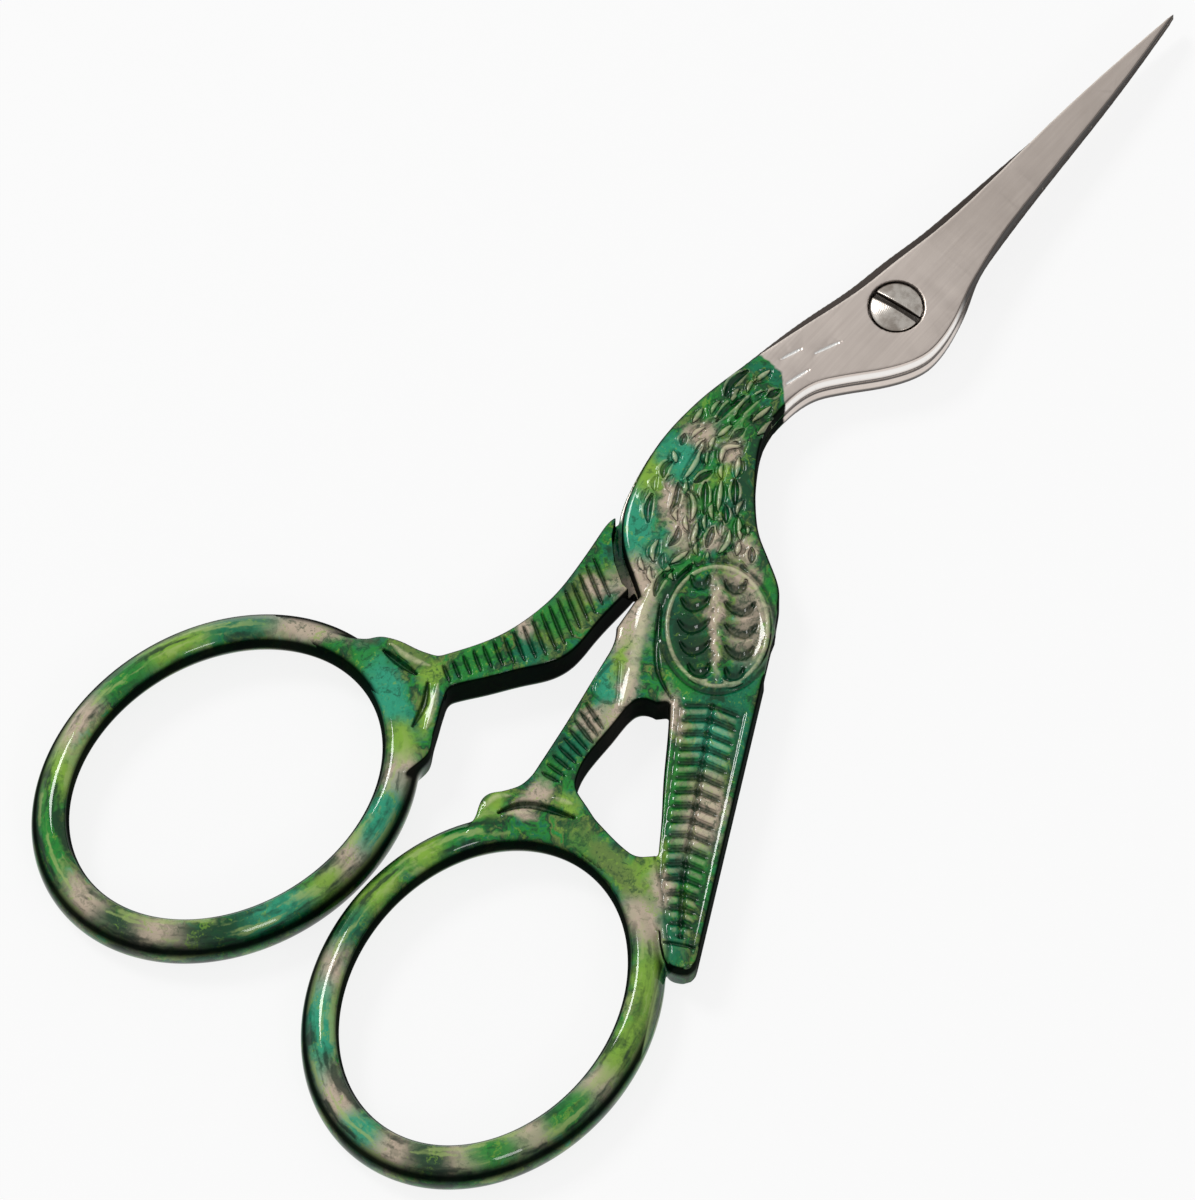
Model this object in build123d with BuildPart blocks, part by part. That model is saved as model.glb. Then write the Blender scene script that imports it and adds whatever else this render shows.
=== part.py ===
"""Stork embroidery scissors: two forged halves on one pivot screw.

Each half is a blade, the bird's neck and body, a leg and a finger bow. Millimetres. +X points to the tips,
+Z up from the table that the closed scissors lie on, and the origin is on the pivot's axis in that table's
plane. The front half is the one whose bird shows from above, and the back half lies under it, its bow on the
+Y side.
"""

from build123d import *
from math import cos, hypot, radians, sin, sqrt
import os

os.makedirs("parts", exist_ok=True)

# Thicknesses
THICKNESS = 3.0  # of the closed pair, and of each leg, tail and bow
MATING_GAP = 0.1  # between the halves' flat inner faces

# Blades, measured from the pivot
BLADE_LENGTH = 26.6
BLADE_WIDTH = 3.0
TIP_RISE = 0.2
TIP_THICKNESS = 0.5  # of one blade
TAPER_START = 4.6
BACK_BLADE_SHIFT = 0.3  # the lower blade's edge shows past the upper blade's back

# Head, neck and body
HEAD_DROP = 3.5
BODY_LENGTH = 22.7
NECK_RISE = 5.2
CHEST_DEPTH = 8.15
STEP_SHARE = 1.13  # the body is one layer inside this share of its length, and full height outside it
STEP_CLEARANCE = 0.3  # between the halves where one of them steps to full height

# Tail
TAIL_WIDTH = 5.6
TAIL_REST_ANGLE = -50  # the angle round the front bow where the tail lies against it
TAIL_OVERHANG = 1.73  # past that place

# Legs, and the feet that clasp the bows
LEG_WIDTH = 4.0
FOOT_DEPTH = 2.2
SHOULDER_GAP = 0.9  # between the front bird's flank and the end of the back leg's full height

# Finger bows: the wire's section is an ellipse that leans outwards at the bottom
BOW_REACH = 50.65
BOW_STAGGER = 0.5  # the back bow is this much nearer to the pivot
BOW_HOLE_LENGTH = 20.8
BOW_HOLE_WIDTH = 15.9
BOW_SPLAY = 9
BOW_GAP = 0.3  # between the bows of the closed scissors
WIRE_WIDTH = 2.15
WIRE_LEAN = 22
BOW_SEAM = 90  # the angle round a bow where its two swept halves meet

# Pivot screw
HEAD_DIAMETER = 3.2
HEAD_HEIGHT = 0.85
HEAD_PROUD = 0.12
DOME_HEIGHT = 0.22
SLOT_WIDTH = 0.42
SLOT_DEPTH = 0.45
SLOT_TURN = 98
SHANK_DIAMETER = 2.0
THREAD_DIAMETER = 1.6
SEAT_CLEARANCE = 0.12
RUNNING_CLEARANCE = 0.05

# Ornament chased into the outer faces
CHASE_DEPTH = 0.25
CHASE_WIDTH = 0.28
TAIL_RIB_PITCH = 0.96
LEG_RIB_PITCH = 0.65
WING_LENGTH = 8.2
WING_WIDTH = 6.4
WING_TURN = 40
FEATHER_PITCH = 1.5
FEATHER_LENGTH = 1.6
FEATHER_TURN = 60

OVERRUN = 1.0  # what a cutter runs past the metal

# Outlines, as shares of the sizes above. Blade: (share of its length, share of its width).
BLADE_BACK_SHARES = [(1.0, 0.0), (0.77, 0.2), (0.6, 0.3), (0.45, 0.35), (0.3, 0.41), (0.19, 0.51)]
BLADE_EDGE_SHARES = [(0.2, -0.75), (0.3, -0.59), (0.4, -0.5), (0.58, -0.375), (0.77, -0.24), (1.0, 0.0)]
# Body: (share of its length behind the pivot, share of its rise or depth)
NAPE_SHARES = [
    (-0.09, 0.395), (0.0, 0.45), (0.18, 0.635), (0.35, 0.82), (0.53, 0.975), (0.62, 1.0),
    (0.71, 0.985), (0.82, 0.89), (0.905, 0.77), (0.97, 0.6), (1.02, 0.37), (1.055, 0.12),
]
RUMP_SHARES = [(1.09, -0.08), (1.2, -0.12), (1.3, -0.45), (1.3, -0.74), (1.13, -1.2)]
BREAST_SHARES = [
    (0.93, -1.02), (0.885, -0.936), (0.84, -0.85), (0.815, -0.765), (0.795, -0.67), (0.773, -0.56),
    (0.748, -0.44), (0.715, -0.33), (0.675, -0.225), (0.63, -0.12), (0.58, -0.02), (0.535, 0.052),
    (0.48, 0.1), (0.42, 0.11), (0.35, 0.09), (0.305, 0.045), (0.265, -0.03), (0.22, -0.13),
]
# Crown: (share of the head's drop ahead of the pivot, share of the drop)
CROWN_SHARES = [
    (-1.14, -0.54), (-0.86, -0.74), (-0.57, -0.9), (-0.28, -0.99), (0.0, -1.0), (0.57, -0.9), (1.1, -0.73),
]
# Tail: (share of its length from the body, share of its width from the outer edge)
TAIL_INNER_SHARES = [
    (0.2, 1.0), (0.27, 0.93), (0.38, 0.855), (0.5, 0.79),
    (0.6, 0.72), (0.72, 0.65), (0.87, 0.5), (1.025, 0.3),
]
TAIL_BAND_SHARES = [(0.22, 0.14), (0.96, 0.1), (0.96, 0.3), (0.75, 0.58), (0.25, 0.8)]
TAIL_REST_SHARE = 0.378  # of its width, from the bow to the outer edge
# Legs: (share of the way from hip to ankle, offset towards +Y as a share of the leg's width)
FRONT_LEG_TOP_SHARES = [(-0.05, 0.53), (0.3, 0.5), (0.59, 0.46), (0.91, 0.446), (1.0, 0.44)]
FRONT_LEG_BASE_SHARES = [
    (0.98, -0.78), (0.9, -0.52), (0.866, -0.29), (0.81, -0.17), (0.72, -0.106),
    (0.62, -0.12), (0.477, -0.176), (0.333, -0.27), (0.24, -0.55), (0.1, -0.8),
]
FRONT_LEG_BAND_SHARES = [(0.5, 0.36), (0.93, 0.3), (0.93, 0.03), (0.5, 0.0)]
BACK_LEG_TOP_SHARES = [
    (-0.25, 0.5), (-0.12, 0.62), (-0.02, 0.48), (0.14, 0.193), (0.268, 0.003), (0.4, -0.105),
    (0.544, -0.14), (0.695, -0.07), (0.78, 0.0), (0.85, 0.075), (0.92, 0.23), (1.0, 0.45),
]
BACK_LEG_BASE_SHARES = [
    (1.0, -0.45), (0.875, -0.48), (0.716, -0.647), (0.556, -0.813), (0.44, -0.94),
    (0.36, -0.95), (0.2, -0.758), (0.043, -0.57), (-0.19, -0.3),
]
BACK_LEG_BAND_SHARES = [
    (0.02, 0.22), (0.268, -0.12), (0.4, -0.2), (0.544, -0.235),
    (0.87, -0.02), (0.87, -0.33), (0.4, -0.88), (0.02, -0.48),
]
# Hips: (share of the body's length, share of its depth in front, of the neck's rise behind)
FRONT_HIP_SHARES = (1.13, -0.4)
BACK_HIP_SHARES = (1.07, 0.4)
# Feet: (angle round the bow, share of the foot's depth)
FRONT_FOOT_SHARES = [
    (43.5, -0.45), (42.3, -0.33), (40, -0.08), (38.7, 0.17), (37.2, 0.38), (34.9, 0.49), (31.9, 0.51),
    (28.6, 0.58), (26, 0.68), (22, 0.9), (15, 0.9), (9.9, 0.66), (5.6, 0.38), (-0.4, 0.16), (-7.3, 0.03),
    (-14, 0.03), (-19.4, 0.12), (-26, 0.1), (-30, -0.3),
]
BACK_FOOT_SHARES = [
    (20.8, -0.49), (13.2, -0.33), (10.8, -0.2), (8.4, -0.05), (6.3, 0.18), (3.3, 0.38), (-0.5, 0.56),
    (-5.1, 0.76), (-9.4, 1.0), (-15, 1.03), (-19.6, 0.95), (-23.9, 0.72), (-28.6, 0.51), (-33.5, 0.35),
    (-38.4, 0.24), (-41, 0.05), (-45, -0.3),
]
FRONT_ANKLE_ANGLE = 18
BACK_ANKLE_ANGLE = -11
# The wing's centre: (share of the body's length, share of its depth)
WING_SHARES = (1.026, -0.687)

# Sizes that follow
half_thickness = THICKNESS / 2
plate = half_thickness - MATING_GAP / 2
front_floor = THICKNESS - plate
step_radius = BODY_LENGTH * STEP_SHARE
lean = radians(WIRE_LEAN)
# The leaning section is as high as the pair is thick, and reaches this far to each side
wire_height = 2 * sqrt(half_thickness**2 - (WIRE_WIDTH / 2 * sin(lean)) ** 2) / cos(lean)
wire_reach = hypot(WIRE_WIDTH / 2 * cos(lean), wire_height / 2 * sin(lean))
bow_length = BOW_HOLE_LENGTH / 2 + wire_reach
bow_width = BOW_HOLE_WIDTH / 2 + wire_reach


def bow_plane(side, reach):
    """The plane of a bow: its origin at the hole's centre, its X along the hole's length."""
    turn = radians(BOW_SPLAY)
    stand_off = hypot((bow_length + wire_reach) * sin(turn), (bow_width + wire_reach) * cos(turn))
    centre = (-reach, side * (BOW_GAP / 2 + stand_off), half_thickness)
    return Plane(origin=centre, x_dir=(cos(turn), -side * sin(turn), 0), z_dir=(0, 0, 1))


def on_bow(plane, angle, proud):
    """The point on the table that is proud of a bow's outer edge, at an angle round the bow."""
    turn, reach = radians(angle), wire_reach + proud
    point = plane.from_local_coords(Vector((bow_length + reach) * cos(turn), (bow_width + reach) * sin(turn)))
    return Vector(point.X, point.Y)


def on_leg(hip, ankle, share, offset):
    """A point beside the line from hip to ankle, its offset counted towards +Y."""
    run = ankle - hip
    return hip + run * share + Vector(run.Y, -run.X).normalized() * (offset * LEG_WIDTH)


def on_blade(length_share, width_share, shift):
    rise = TIP_RISE * length_share + shift * (1 - length_share)
    return Vector(BLADE_LENGTH * length_share, rise + BLADE_WIDTH * width_share)


def on_body(length_share, height_share, height, shift=0):
    return Vector(-BODY_LENGTH * length_share, height * height_share + shift)


def on_tail(shares):
    return [tail_plane.from_local_coords(Vector(x * tail_length, y * TAIL_WIDTH)) for x, y in shares]


front_bow = bow_plane(-1, BOW_REACH)
back_bow = bow_plane(1, BOW_REACH - BOW_STAGGER)
front_hip = on_body(*FRONT_HIP_SHARES, CHEST_DEPTH)
back_hip = on_body(*BACK_HIP_SHARES, NECK_RISE)
front_ankle = on_bow(front_bow, FRONT_ANKLE_ANGLE, 0)
back_ankle = on_bow(back_bow, BACK_ANKLE_ANGLE, 0)
tail_root = on_body(*BREAST_SHARES[0], CHEST_DEPTH)
tail_rest = on_bow(front_bow, TAIL_REST_ANGLE, TAIL_REST_SHARE * TAIL_WIDTH)
tail_length = (tail_rest - tail_root).length + TAIL_OVERHANG
tail_plane = Plane(origin=tail_root, x_dir=(tail_rest - tail_root).normalized(), z_dir=(0, 0, -1))
tail_tip = tail_plane.from_local_coords(Vector(tail_length, 0))
wing_point = on_body(*WING_SHARES, CHEST_DEPTH)
wing_centre = (wing_point.X, wing_point.Y, THICKNESS)
head_base = THICKNESS + HEAD_PROUD - HEAD_HEIGHT
seated = (Align.CENTER, Align.CENTER, Align.MIN)


def draw_bird(shift):
    """Blade, head, neck and body, with the blade and the back of the neck shifted towards +Y."""
    back = [on_blade(*share, shift) for share in BLADE_BACK_SHARES]
    nape = [on_body(*share, NECK_RISE, shift) for share in NAPE_SHARES]
    rump = [on_body(*share, CHEST_DEPTH) for share in RUMP_SHARES]
    breast = [on_body(*share, CHEST_DEPTH) for share in BREAST_SHARES]
    crown = [Vector(x * HEAD_DROP, y * HEAD_DROP) for x, y in CROWN_SHARES]
    edge = [on_blade(*share, shift) for share in BLADE_EDGE_SHARES]
    with BuildLine() as outline:
        Spline(*back, *nape)
        Polyline(nape[-1], *rump, breast[0])
        Spline(*breast, *crown, *edge)
    make_face(outline.edges())


def draw_leg(hip, ankle, top_shares, base_shares):
    top = [on_leg(hip, ankle, *share) for share in top_shares]
    base = [on_leg(hip, ankle, *share) for share in base_shares]
    with BuildLine() as outline:
        Spline(*top)
        Line(top[-1], base[0])
        Spline(*base)
        Line(base[-1], top[0])
    make_face(outline.edges())


def draw_foot(plane, shares):
    """A foot, from its outline proud of the bow inwards to the wire's middle."""
    outer = [on_bow(plane, angle, share * FOOT_DEPTH) for angle, share in shares]
    inner = [on_bow(plane, angle, -wire_reach) for angle, _ in shares]
    with BuildLine() as outline:
        Spline(*outer)
        Line(outer[-1], inner[-1])
        Spline(*reversed(inner))
        Line(inner[0], outer[0])
    make_face(outline.edges())


def draw_tail():
    inner = on_tail(TAIL_INNER_SHARES)
    with BuildLine() as outline:
        Spline(*inner)
        Polyline(inner[-1], tail_tip, tail_root, inner[0])
    make_face(outline.edges())


def sweep_bow(plane):
    """The bow's wire, in two halves."""
    for start in (BOW_SEAM, BOW_SEAM + 180):
        with BuildLine(plane):
            line = EllipticalCenterArc((0, 0), bow_length, bow_width, start_angle=start, arc_size=180)
        across = (line % 0).cross(plane.z_dir)
        with BuildSketch(Plane(origin=line @ 0, x_dir=across, z_dir=line % 0)) as section:
            Ellipse(WIRE_WIDTH / 2, wire_height / 2, rotation=-WIRE_LEAN)
        sweep(section.sketch, path=line)


def taper_blade(mating, outer, side):
    """Grind a wedge off a blade's outer face, side being +1 for a face on top and -1 for one below."""
    with BuildSketch(Plane.XZ) as wedge:
        with BuildLine():
            Polyline(
                (TAPER_START, outer),
                (BLADE_LENGTH, mating + side * TIP_THICKNESS),
                (BLADE_LENGTH + OVERRUN, mating + side * TIP_THICKNESS),
                (BLADE_LENGTH + OVERRUN, outer + side * OVERRUN),
                (TAPER_START, outer + side * OVERRUN),
                close=True,
            )
        make_face()
    extrude(wedge.sketch, amount=BLADE_WIDTH + HEAD_DROP, both=True, mode=Mode.SUBTRACT)


def chase_ribs(plane, band, pitch):
    """Cut grooves across a band of the top face, evenly spaced along the plane's X."""
    corners = [plane.to_local_coords(Vector(point.X, point.Y, THICKNESS)) for point in band]
    near, far = min(point.X for point in corners), max(point.X for point in corners)
    count = int((far - near) / pitch)
    with BuildSketch(plane) as grooves:
        with Locations(*[(near + (k + 0.5) * pitch, 0) for k in range(count)]):
            Rectangle(CHASE_WIDTH, 2 * (LEG_WIDTH + TAIL_WIDTH))
        with BuildLine():
            Polyline(*corners, close=True)
        make_face(mode=Mode.INTERSECT)
    extrude(grooves.sketch, amount=-CHASE_DEPTH, mode=Mode.SUBTRACT)


def chase_wing(plane):
    """Cut the wing's oval outline and two columns of feathers into the top face."""
    inner_length, inner_width = WING_LENGTH / 2 - CHASE_WIDTH, WING_WIDTH / 2 - CHASE_WIDTH
    with BuildSketch(plane) as wing:
        Ellipse(WING_LENGTH / 2, WING_WIDTH / 2)
        Ellipse(inner_length, inner_width, mode=Mode.SUBTRACT)
        with GridLocations(FEATHER_PITCH, inner_width, int(WING_LENGTH / FEATHER_PITCH) - 1, 2):
            SlotOverall(FEATHER_LENGTH, CHASE_WIDTH, rotation=FEATHER_TURN)
    extrude(wing.sketch, amount=-CHASE_DEPTH, mode=Mode.SUBTRACT)


def top_plane(origin, towards):
    """A plane on the top face with its X pointing towards a second point."""
    along = (towards - origin).normalized()
    return Plane(origin=(origin.X, origin.Y, THICKNESS), x_dir=along, z_dir=(0, 0, 1))


def draw_room(clearance):
    """Where one half lies under the other: round the pivot as far as the step, and along the blades."""
    with BuildSketch() as room:
        Circle(step_radius - clearance)
        Rectangle(BLADE_LENGTH + OVERRUN, 2 * CHEST_DEPTH, align=(Align.MIN, Align.CENTER))
    return room.sketch


def draw_shoulder():
    """Beside the front bird's flank and under it, where the back half may not rise to full height."""
    flank = [on_body(*share, NECK_RISE) for share in NAPE_SHARES[-5:]]
    beside = [Vector(point.X - SHOULDER_GAP, point.Y) for point in flank]
    above, foot = NECK_RISE + OVERRUN, Vector(-step_radius, -CHEST_DEPTH)
    with BuildSketch() as shoulder:
        with BuildLine():
            Polyline((0, above), (beside[0].X, above), *beside, foot, (0, foot.Y), close=True)
        make_face()
    return shoulder.sketch


def draw_front():
    draw_bird(0)
    draw_tail()
    draw_leg(front_hip, front_ankle, FRONT_LEG_TOP_SHARES, FRONT_LEG_BASE_SHARES)
    draw_foot(front_bow, FRONT_FOOT_SHARES)


def draw_back_leg():
    draw_leg(back_hip, back_ankle, BACK_LEG_TOP_SHARES, BACK_LEG_BASE_SHARES)
    draw_foot(back_bow, BACK_FOOT_SHARES)


with BuildPart() as front_half:
    with BuildSketch():
        draw_front()
        add(draw_room(0), mode=Mode.SUBTRACT)
    extrude(amount=front_floor)
    with BuildSketch(Plane.XY.offset(front_floor)):
        draw_front()
    extrude(amount=plate)
    sweep_bow(front_bow)
    taper_blade(front_floor, THICKNESS, 1)
    chase_ribs(top_plane(tail_root, tail_tip), on_tail(TAIL_BAND_SHARES), TAIL_RIB_PITCH)
    leg_band = [on_leg(front_hip, front_ankle, *share) for share in FRONT_LEG_BAND_SHARES]
    chase_ribs(top_plane(front_hip, front_ankle), leg_band, LEG_RIB_PITCH)
    chase_wing(Plane(origin=wing_centre, x_dir=(cos(radians(WING_TURN)), sin(radians(WING_TURN)), 0)))
    # The screw's running hole and the seat of its head
    with Locations((0, 0, head_base - RUNNING_CLEARANCE)):
        Cylinder(SHANK_DIAMETER / 2 + RUNNING_CLEARANCE, THICKNESS, mode=Mode.SUBTRACT)
        Cylinder(HEAD_DIAMETER / 2 + SEAT_CLEARANCE, THICKNESS, align=seated, mode=Mode.SUBTRACT)

front_half.part.label = "front_half"
export_step(front_half.part, "parts/front_half.step")

with BuildPart() as back_half:
    with BuildSketch():
        draw_bird(BACK_BLADE_SHIFT)
        add(draw_room(STEP_CLEARANCE), mode=Mode.INTERSECT)
        draw_back_leg()
    extrude(amount=plate)
    with BuildSketch(Plane.XY.offset(plate)):
        draw_back_leg()
        add(draw_shoulder(), mode=Mode.SUBTRACT)
    extrude(amount=THICKNESS - plate)
    sweep_bow(back_bow)
    taper_blade(plate, 0, -1)
    leg_band = [on_leg(back_hip, back_ankle, *share) for share in BACK_LEG_BAND_SHARES]
    chase_ribs(top_plane(back_hip, back_ankle), leg_band, LEG_RIB_PITCH)
    # The tapped hole, at the thread's outer diameter
    Cylinder(THREAD_DIAMETER / 2, THICKNESS, mode=Mode.SUBTRACT)

back_half.part.label = "back_half"
export_step(back_half.part, "parts/back_half.step")

with BuildPart() as pivot_screw:
    with BuildSketch(Plane.XZ):
        with BuildLine():
            crown = (0, THICKNESS + HEAD_PROUD)
            rim = (HEAD_DIAMETER / 2, THICKNESS + HEAD_PROUD - DOME_HEIGHT)
            RadiusArc(crown, rim, (HEAD_DIAMETER**2 / 4 + DOME_HEIGHT**2) / (2 * DOME_HEIGHT))
            Polyline(
                rim,
                (HEAD_DIAMETER / 2, head_base),
                (SHANK_DIAMETER / 2, head_base),
                (SHANK_DIAMETER / 2, plate),
                (THREAD_DIAMETER / 2, plate),
                (THREAD_DIAMETER / 2, 0),
                (0, 0),
                crown,
            )
        make_face()
    revolve(axis=Axis.Z)
    with Locations(Location((0, 0, THICKNESS + HEAD_PROUD - SLOT_DEPTH), (0, 0, SLOT_TURN))):
        Box(HEAD_DIAMETER + OVERRUN, SLOT_WIDTH, THICKNESS, align=seated, mode=Mode.SUBTRACT)

pivot_screw.part.label = "pivot_screw"
export_step(pivot_screw.part, "parts/pivot_screw.step")

for piece in (front_half, back_half, pivot_screw):
    print(piece.part.label, round(piece.part.volume, 1), piece.part.is_valid)
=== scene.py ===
# %% [markdown]
# # Stork embroidery scissors
# Small scissors shaped like a stork: the blades are its beak, a slotted screw is its eye, and two oval
# bows take the finger and the thumb. The handles are coated with glossy marbled enamel and the blades are
# bare steel. Everything here is drawn in millimetres and turned into metres as each mesh is made.

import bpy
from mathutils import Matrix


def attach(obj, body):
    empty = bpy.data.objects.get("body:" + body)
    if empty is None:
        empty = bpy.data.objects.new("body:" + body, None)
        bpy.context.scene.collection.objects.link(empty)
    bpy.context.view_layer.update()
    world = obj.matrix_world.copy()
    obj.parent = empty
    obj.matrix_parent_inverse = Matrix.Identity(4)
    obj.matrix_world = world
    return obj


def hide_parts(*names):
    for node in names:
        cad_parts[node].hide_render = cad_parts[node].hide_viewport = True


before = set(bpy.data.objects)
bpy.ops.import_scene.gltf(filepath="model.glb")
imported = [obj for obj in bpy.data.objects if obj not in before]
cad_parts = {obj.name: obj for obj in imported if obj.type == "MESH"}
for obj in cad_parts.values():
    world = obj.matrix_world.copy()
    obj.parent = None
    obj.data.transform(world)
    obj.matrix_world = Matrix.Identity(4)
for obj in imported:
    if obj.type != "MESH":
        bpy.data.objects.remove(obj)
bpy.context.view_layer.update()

import copy
import math
import random
import bpy
import numpy as np
import openvdb
from mathutils import Vector

MM = 0.001

# %% [markdown]
# ## The sizes
# A forged half is easiest to describe by the sizes a maker would set, and by outlines that are written as
# shares of them. These are the sizes and shares of the CAD part, so that the detailed skin lies where the
# plain solid does.

# %% Sizes of the scissors
THICKNESS = 3.0
MATING_GAP = 0.1
PLATE = THICKNESS / 2 - MATING_GAP / 2
FRONT_FLOOR = THICKNESS - PLATE
BLADE_LENGTH, BLADE_WIDTH, TIP_RISE, TIP_THICKNESS, TAPER_START = 26.6, 3.0, 0.2, 0.5, 4.6
BACK_BLADE_SHIFT = 0.3
HEAD_DROP, BODY_LENGTH, NECK_RISE, CHEST_DEPTH = 3.5, 22.7, 5.2, 8.15
STEP_RADIUS, STEP_CLEARANCE = BODY_LENGTH * 1.13, 0.3
TAIL_WIDTH, TAIL_REST_ANGLE, TAIL_REST_SHARE, TAIL_OVERHANG = 5.6, -50, 0.378, 1.73
LEG_WIDTH, FOOT_DEPTH, SHOULDER_GAP = 4.0, 2.2, 0.9
BOW_REACH, BOW_STAGGER, BOW_HOLE_LENGTH, BOW_HOLE_WIDTH, BOW_SPLAY, BOW_GAP = 50.65, 0.5, 20.8, 15.9, 9, 0.3
WIRE_WIDTH, WIRE_LEAN = 2.15, math.radians(22)
HEAD_DIAMETER, HEAD_PROUD, HEAD_HEIGHT, DOME_HEIGHT, SEAT_CLEARANCE = 3.2, 0.12, 0.85, 0.22, 0.12
SLOT_WIDTH, SLOT_DEPTH, SLOT_TURN = 0.42, 0.45, 98
SHANK_DIAMETER, THREAD_DIAMETER, RUNNING_CLEARANCE = 2.0, 1.6, 0.05
TAIL_RIB_PITCH = 0.96
WING_LENGTH, WING_WIDTH, WING_TURN = 8.2, 6.4, math.radians(40.6)

across_lean = WIRE_WIDTH / 2 * math.sin(WIRE_LEAN)
WIRE_HEIGHT = 2 * math.sqrt((THICKNESS / 2) ** 2 - across_lean**2) / math.cos(WIRE_LEAN)
WIRE_REACH = math.hypot(WIRE_WIDTH / 2 * math.cos(WIRE_LEAN), WIRE_HEIGHT / 2 * math.sin(WIRE_LEAN))
print("bow wire in mm:", WIRE_WIDTH, "x", round(WIRE_HEIGHT, 2))

# %% [markdown]
# ## The outlines as numbers
# An outline could be traced point by point in millimetres, but then a longer blade would need a new
# tracing. Here each point is a share: along the blade or body, and up or down from it. The feet are
# angles round their bow, with the share of the foot's depth that stands out there.

# %% Outlines of the bird, as shares
BLADE_BACK = [(1.0, 0.0), (0.77, 0.2), (0.6, 0.3), (0.45, 0.35), (0.3, 0.41), (0.19, 0.51)]
BLADE_EDGE = [(0.2, -0.75), (0.3, -0.59), (0.4, -0.5), (0.58, -0.375), (0.77, -0.24), (1.0, 0.0)]
NAPE = [
    (-0.09, 0.395), (0.0, 0.45), (0.18, 0.635), (0.35, 0.82), (0.53, 0.975), (0.62, 1.0),
    (0.71, 0.985), (0.82, 0.89), (0.905, 0.77), (0.97, 0.6), (1.02, 0.37), (1.055, 0.12),
]
RUMP = [(1.09, -0.08), (1.2, -0.12), (1.3, -0.45), (1.3, -0.74), (1.13, -1.2)]
BREAST = [
    (0.93, -1.02), (0.885, -0.936), (0.84, -0.85), (0.815, -0.765), (0.795, -0.67), (0.773, -0.56),
    (0.748, -0.44), (0.715, -0.33), (0.675, -0.225), (0.63, -0.12), (0.58, -0.02), (0.535, 0.052),
    (0.48, 0.1), (0.42, 0.11), (0.35, 0.09), (0.305, 0.045), (0.265, -0.03), (0.22, -0.13),
]
CROWN = [
    (-1.14, -0.54), (-0.86, -0.74), (-0.57, -0.9), (-0.28, -0.99), (0.0, -1.0), (0.57, -0.9), (1.1, -0.73),
]
TAIL_INNER = [
    (0.2, 1.0), (0.27, 0.93), (0.38, 0.855), (0.5, 0.79), (0.6, 0.72), (0.72, 0.65), (0.87, 0.5),
    (1.025, 0.3),
]
print("points on the nape and the breast:", len(NAPE), len(BREAST))

# %% Outlines of the legs and feet, as shares
FRONT_LEG_TOP = [(-0.05, 0.53), (0.3, 0.5), (0.59, 0.46), (0.91, 0.446), (1.0, 0.44)]
FRONT_LEG_BASE = [
    (0.98, -0.78), (0.9, -0.52), (0.866, -0.29), (0.81, -0.17), (0.72, -0.106),
    (0.62, -0.12), (0.477, -0.176), (0.333, -0.27), (0.24, -0.55), (0.1, -0.8),
]
BACK_LEG_TOP = [
    (-0.25, 0.5), (-0.12, 0.62), (-0.02, 0.48), (0.14, 0.193), (0.268, 0.003), (0.4, -0.105),
    (0.544, -0.14), (0.695, -0.07), (0.78, 0.0), (0.85, 0.075), (0.92, 0.23), (1.0, 0.45),
]
BACK_LEG_BASE = [
    (1.0, -0.45), (0.875, -0.48), (0.716, -0.647), (0.556, -0.813), (0.44, -0.94),
    (0.36, -0.95), (0.2, -0.758), (0.043, -0.57), (-0.19, -0.3),
]
FRONT_HIP, BACK_HIP = (1.13, -0.4), (1.07, 0.4)
FRONT_ANKLE_ANGLE, BACK_ANKLE_ANGLE = 18, -11
FRONT_FOOT = [
    (43.5, -0.45), (42.3, -0.33), (40, -0.08), (38.7, 0.17), (37.2, 0.38), (34.9, 0.49), (31.9, 0.51),
    (28.6, 0.58), (26, 0.68), (22, 0.9), (15, 0.9), (9.9, 0.66), (5.6, 0.38), (-0.4, 0.16), (-7.3, 0.03),
    (-14, 0.03), (-19.4, 0.12), (-26, 0.1), (-30, -0.3),
]
BACK_FOOT = [
    (20.8, -0.49), (13.2, -0.33), (10.8, -0.2), (8.4, -0.05), (6.3, 0.18), (3.3, 0.38), (-0.5, 0.56),
    (-5.1, 0.76), (-9.4, 1.0), (-15, 1.03), (-19.6, 0.95), (-23.9, 0.72), (-28.6, 0.51), (-33.5, 0.35),
    (-38.4, 0.24), (-41, 0.05), (-45, -0.3),
]
WING_CENTRE = (-1.026 * BODY_LENGTH, -0.687 * CHEST_DEPTH)
print("points on the feet:", len(FRONT_FOOT), len(BACK_FOOT))

# %% [markdown]
# ## Drawing smooth outlines
# Curves could be Blender's own Bezier objects, but the metal is going to be worked out on a grid, so
# plain lists of points are handier. A spline that passes through each point bends the outline as a
# maker's French curve does.

# %% A smooth curve through points
def bend(points, step=0.1):
    """Points about a step apart on a natural spline through the given points."""
    points = np.array(points, float)
    runs = np.hypot(*np.diff(points, axis=0).T)
    at = np.concatenate([[0], np.cumsum(runs)])
    count = len(points)
    system, pull = np.eye(count), np.zeros((count, 2))
    for i in range(1, count - 1):
        system[i, i - 1:i + 2] = runs[i - 1], 2 * (runs[i - 1] + runs[i]), runs[i]
        pull[i] = 6 * ((points[i + 1] - points[i]) / runs[i] - (points[i] - points[i - 1]) / runs[i - 1])
    second = np.linalg.solve(system, pull)
    place = np.linspace(0, at[-1], max(2, int(at[-1] / step)))
    i = np.clip(np.searchsorted(at, place, "right") - 1, 0, count - 2)
    left, right, run = (at[i + 1] - place)[:, None], (place - at[i])[:, None], runs[i][:, None]
    return (
        second[i] * left**3 / (6 * run) + second[i + 1] * right**3 / (6 * run)
        + (points[i] / run - second[i] * run / 6) * left
        + (points[i + 1] / run - second[i + 1] * run / 6) * right
    )


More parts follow.
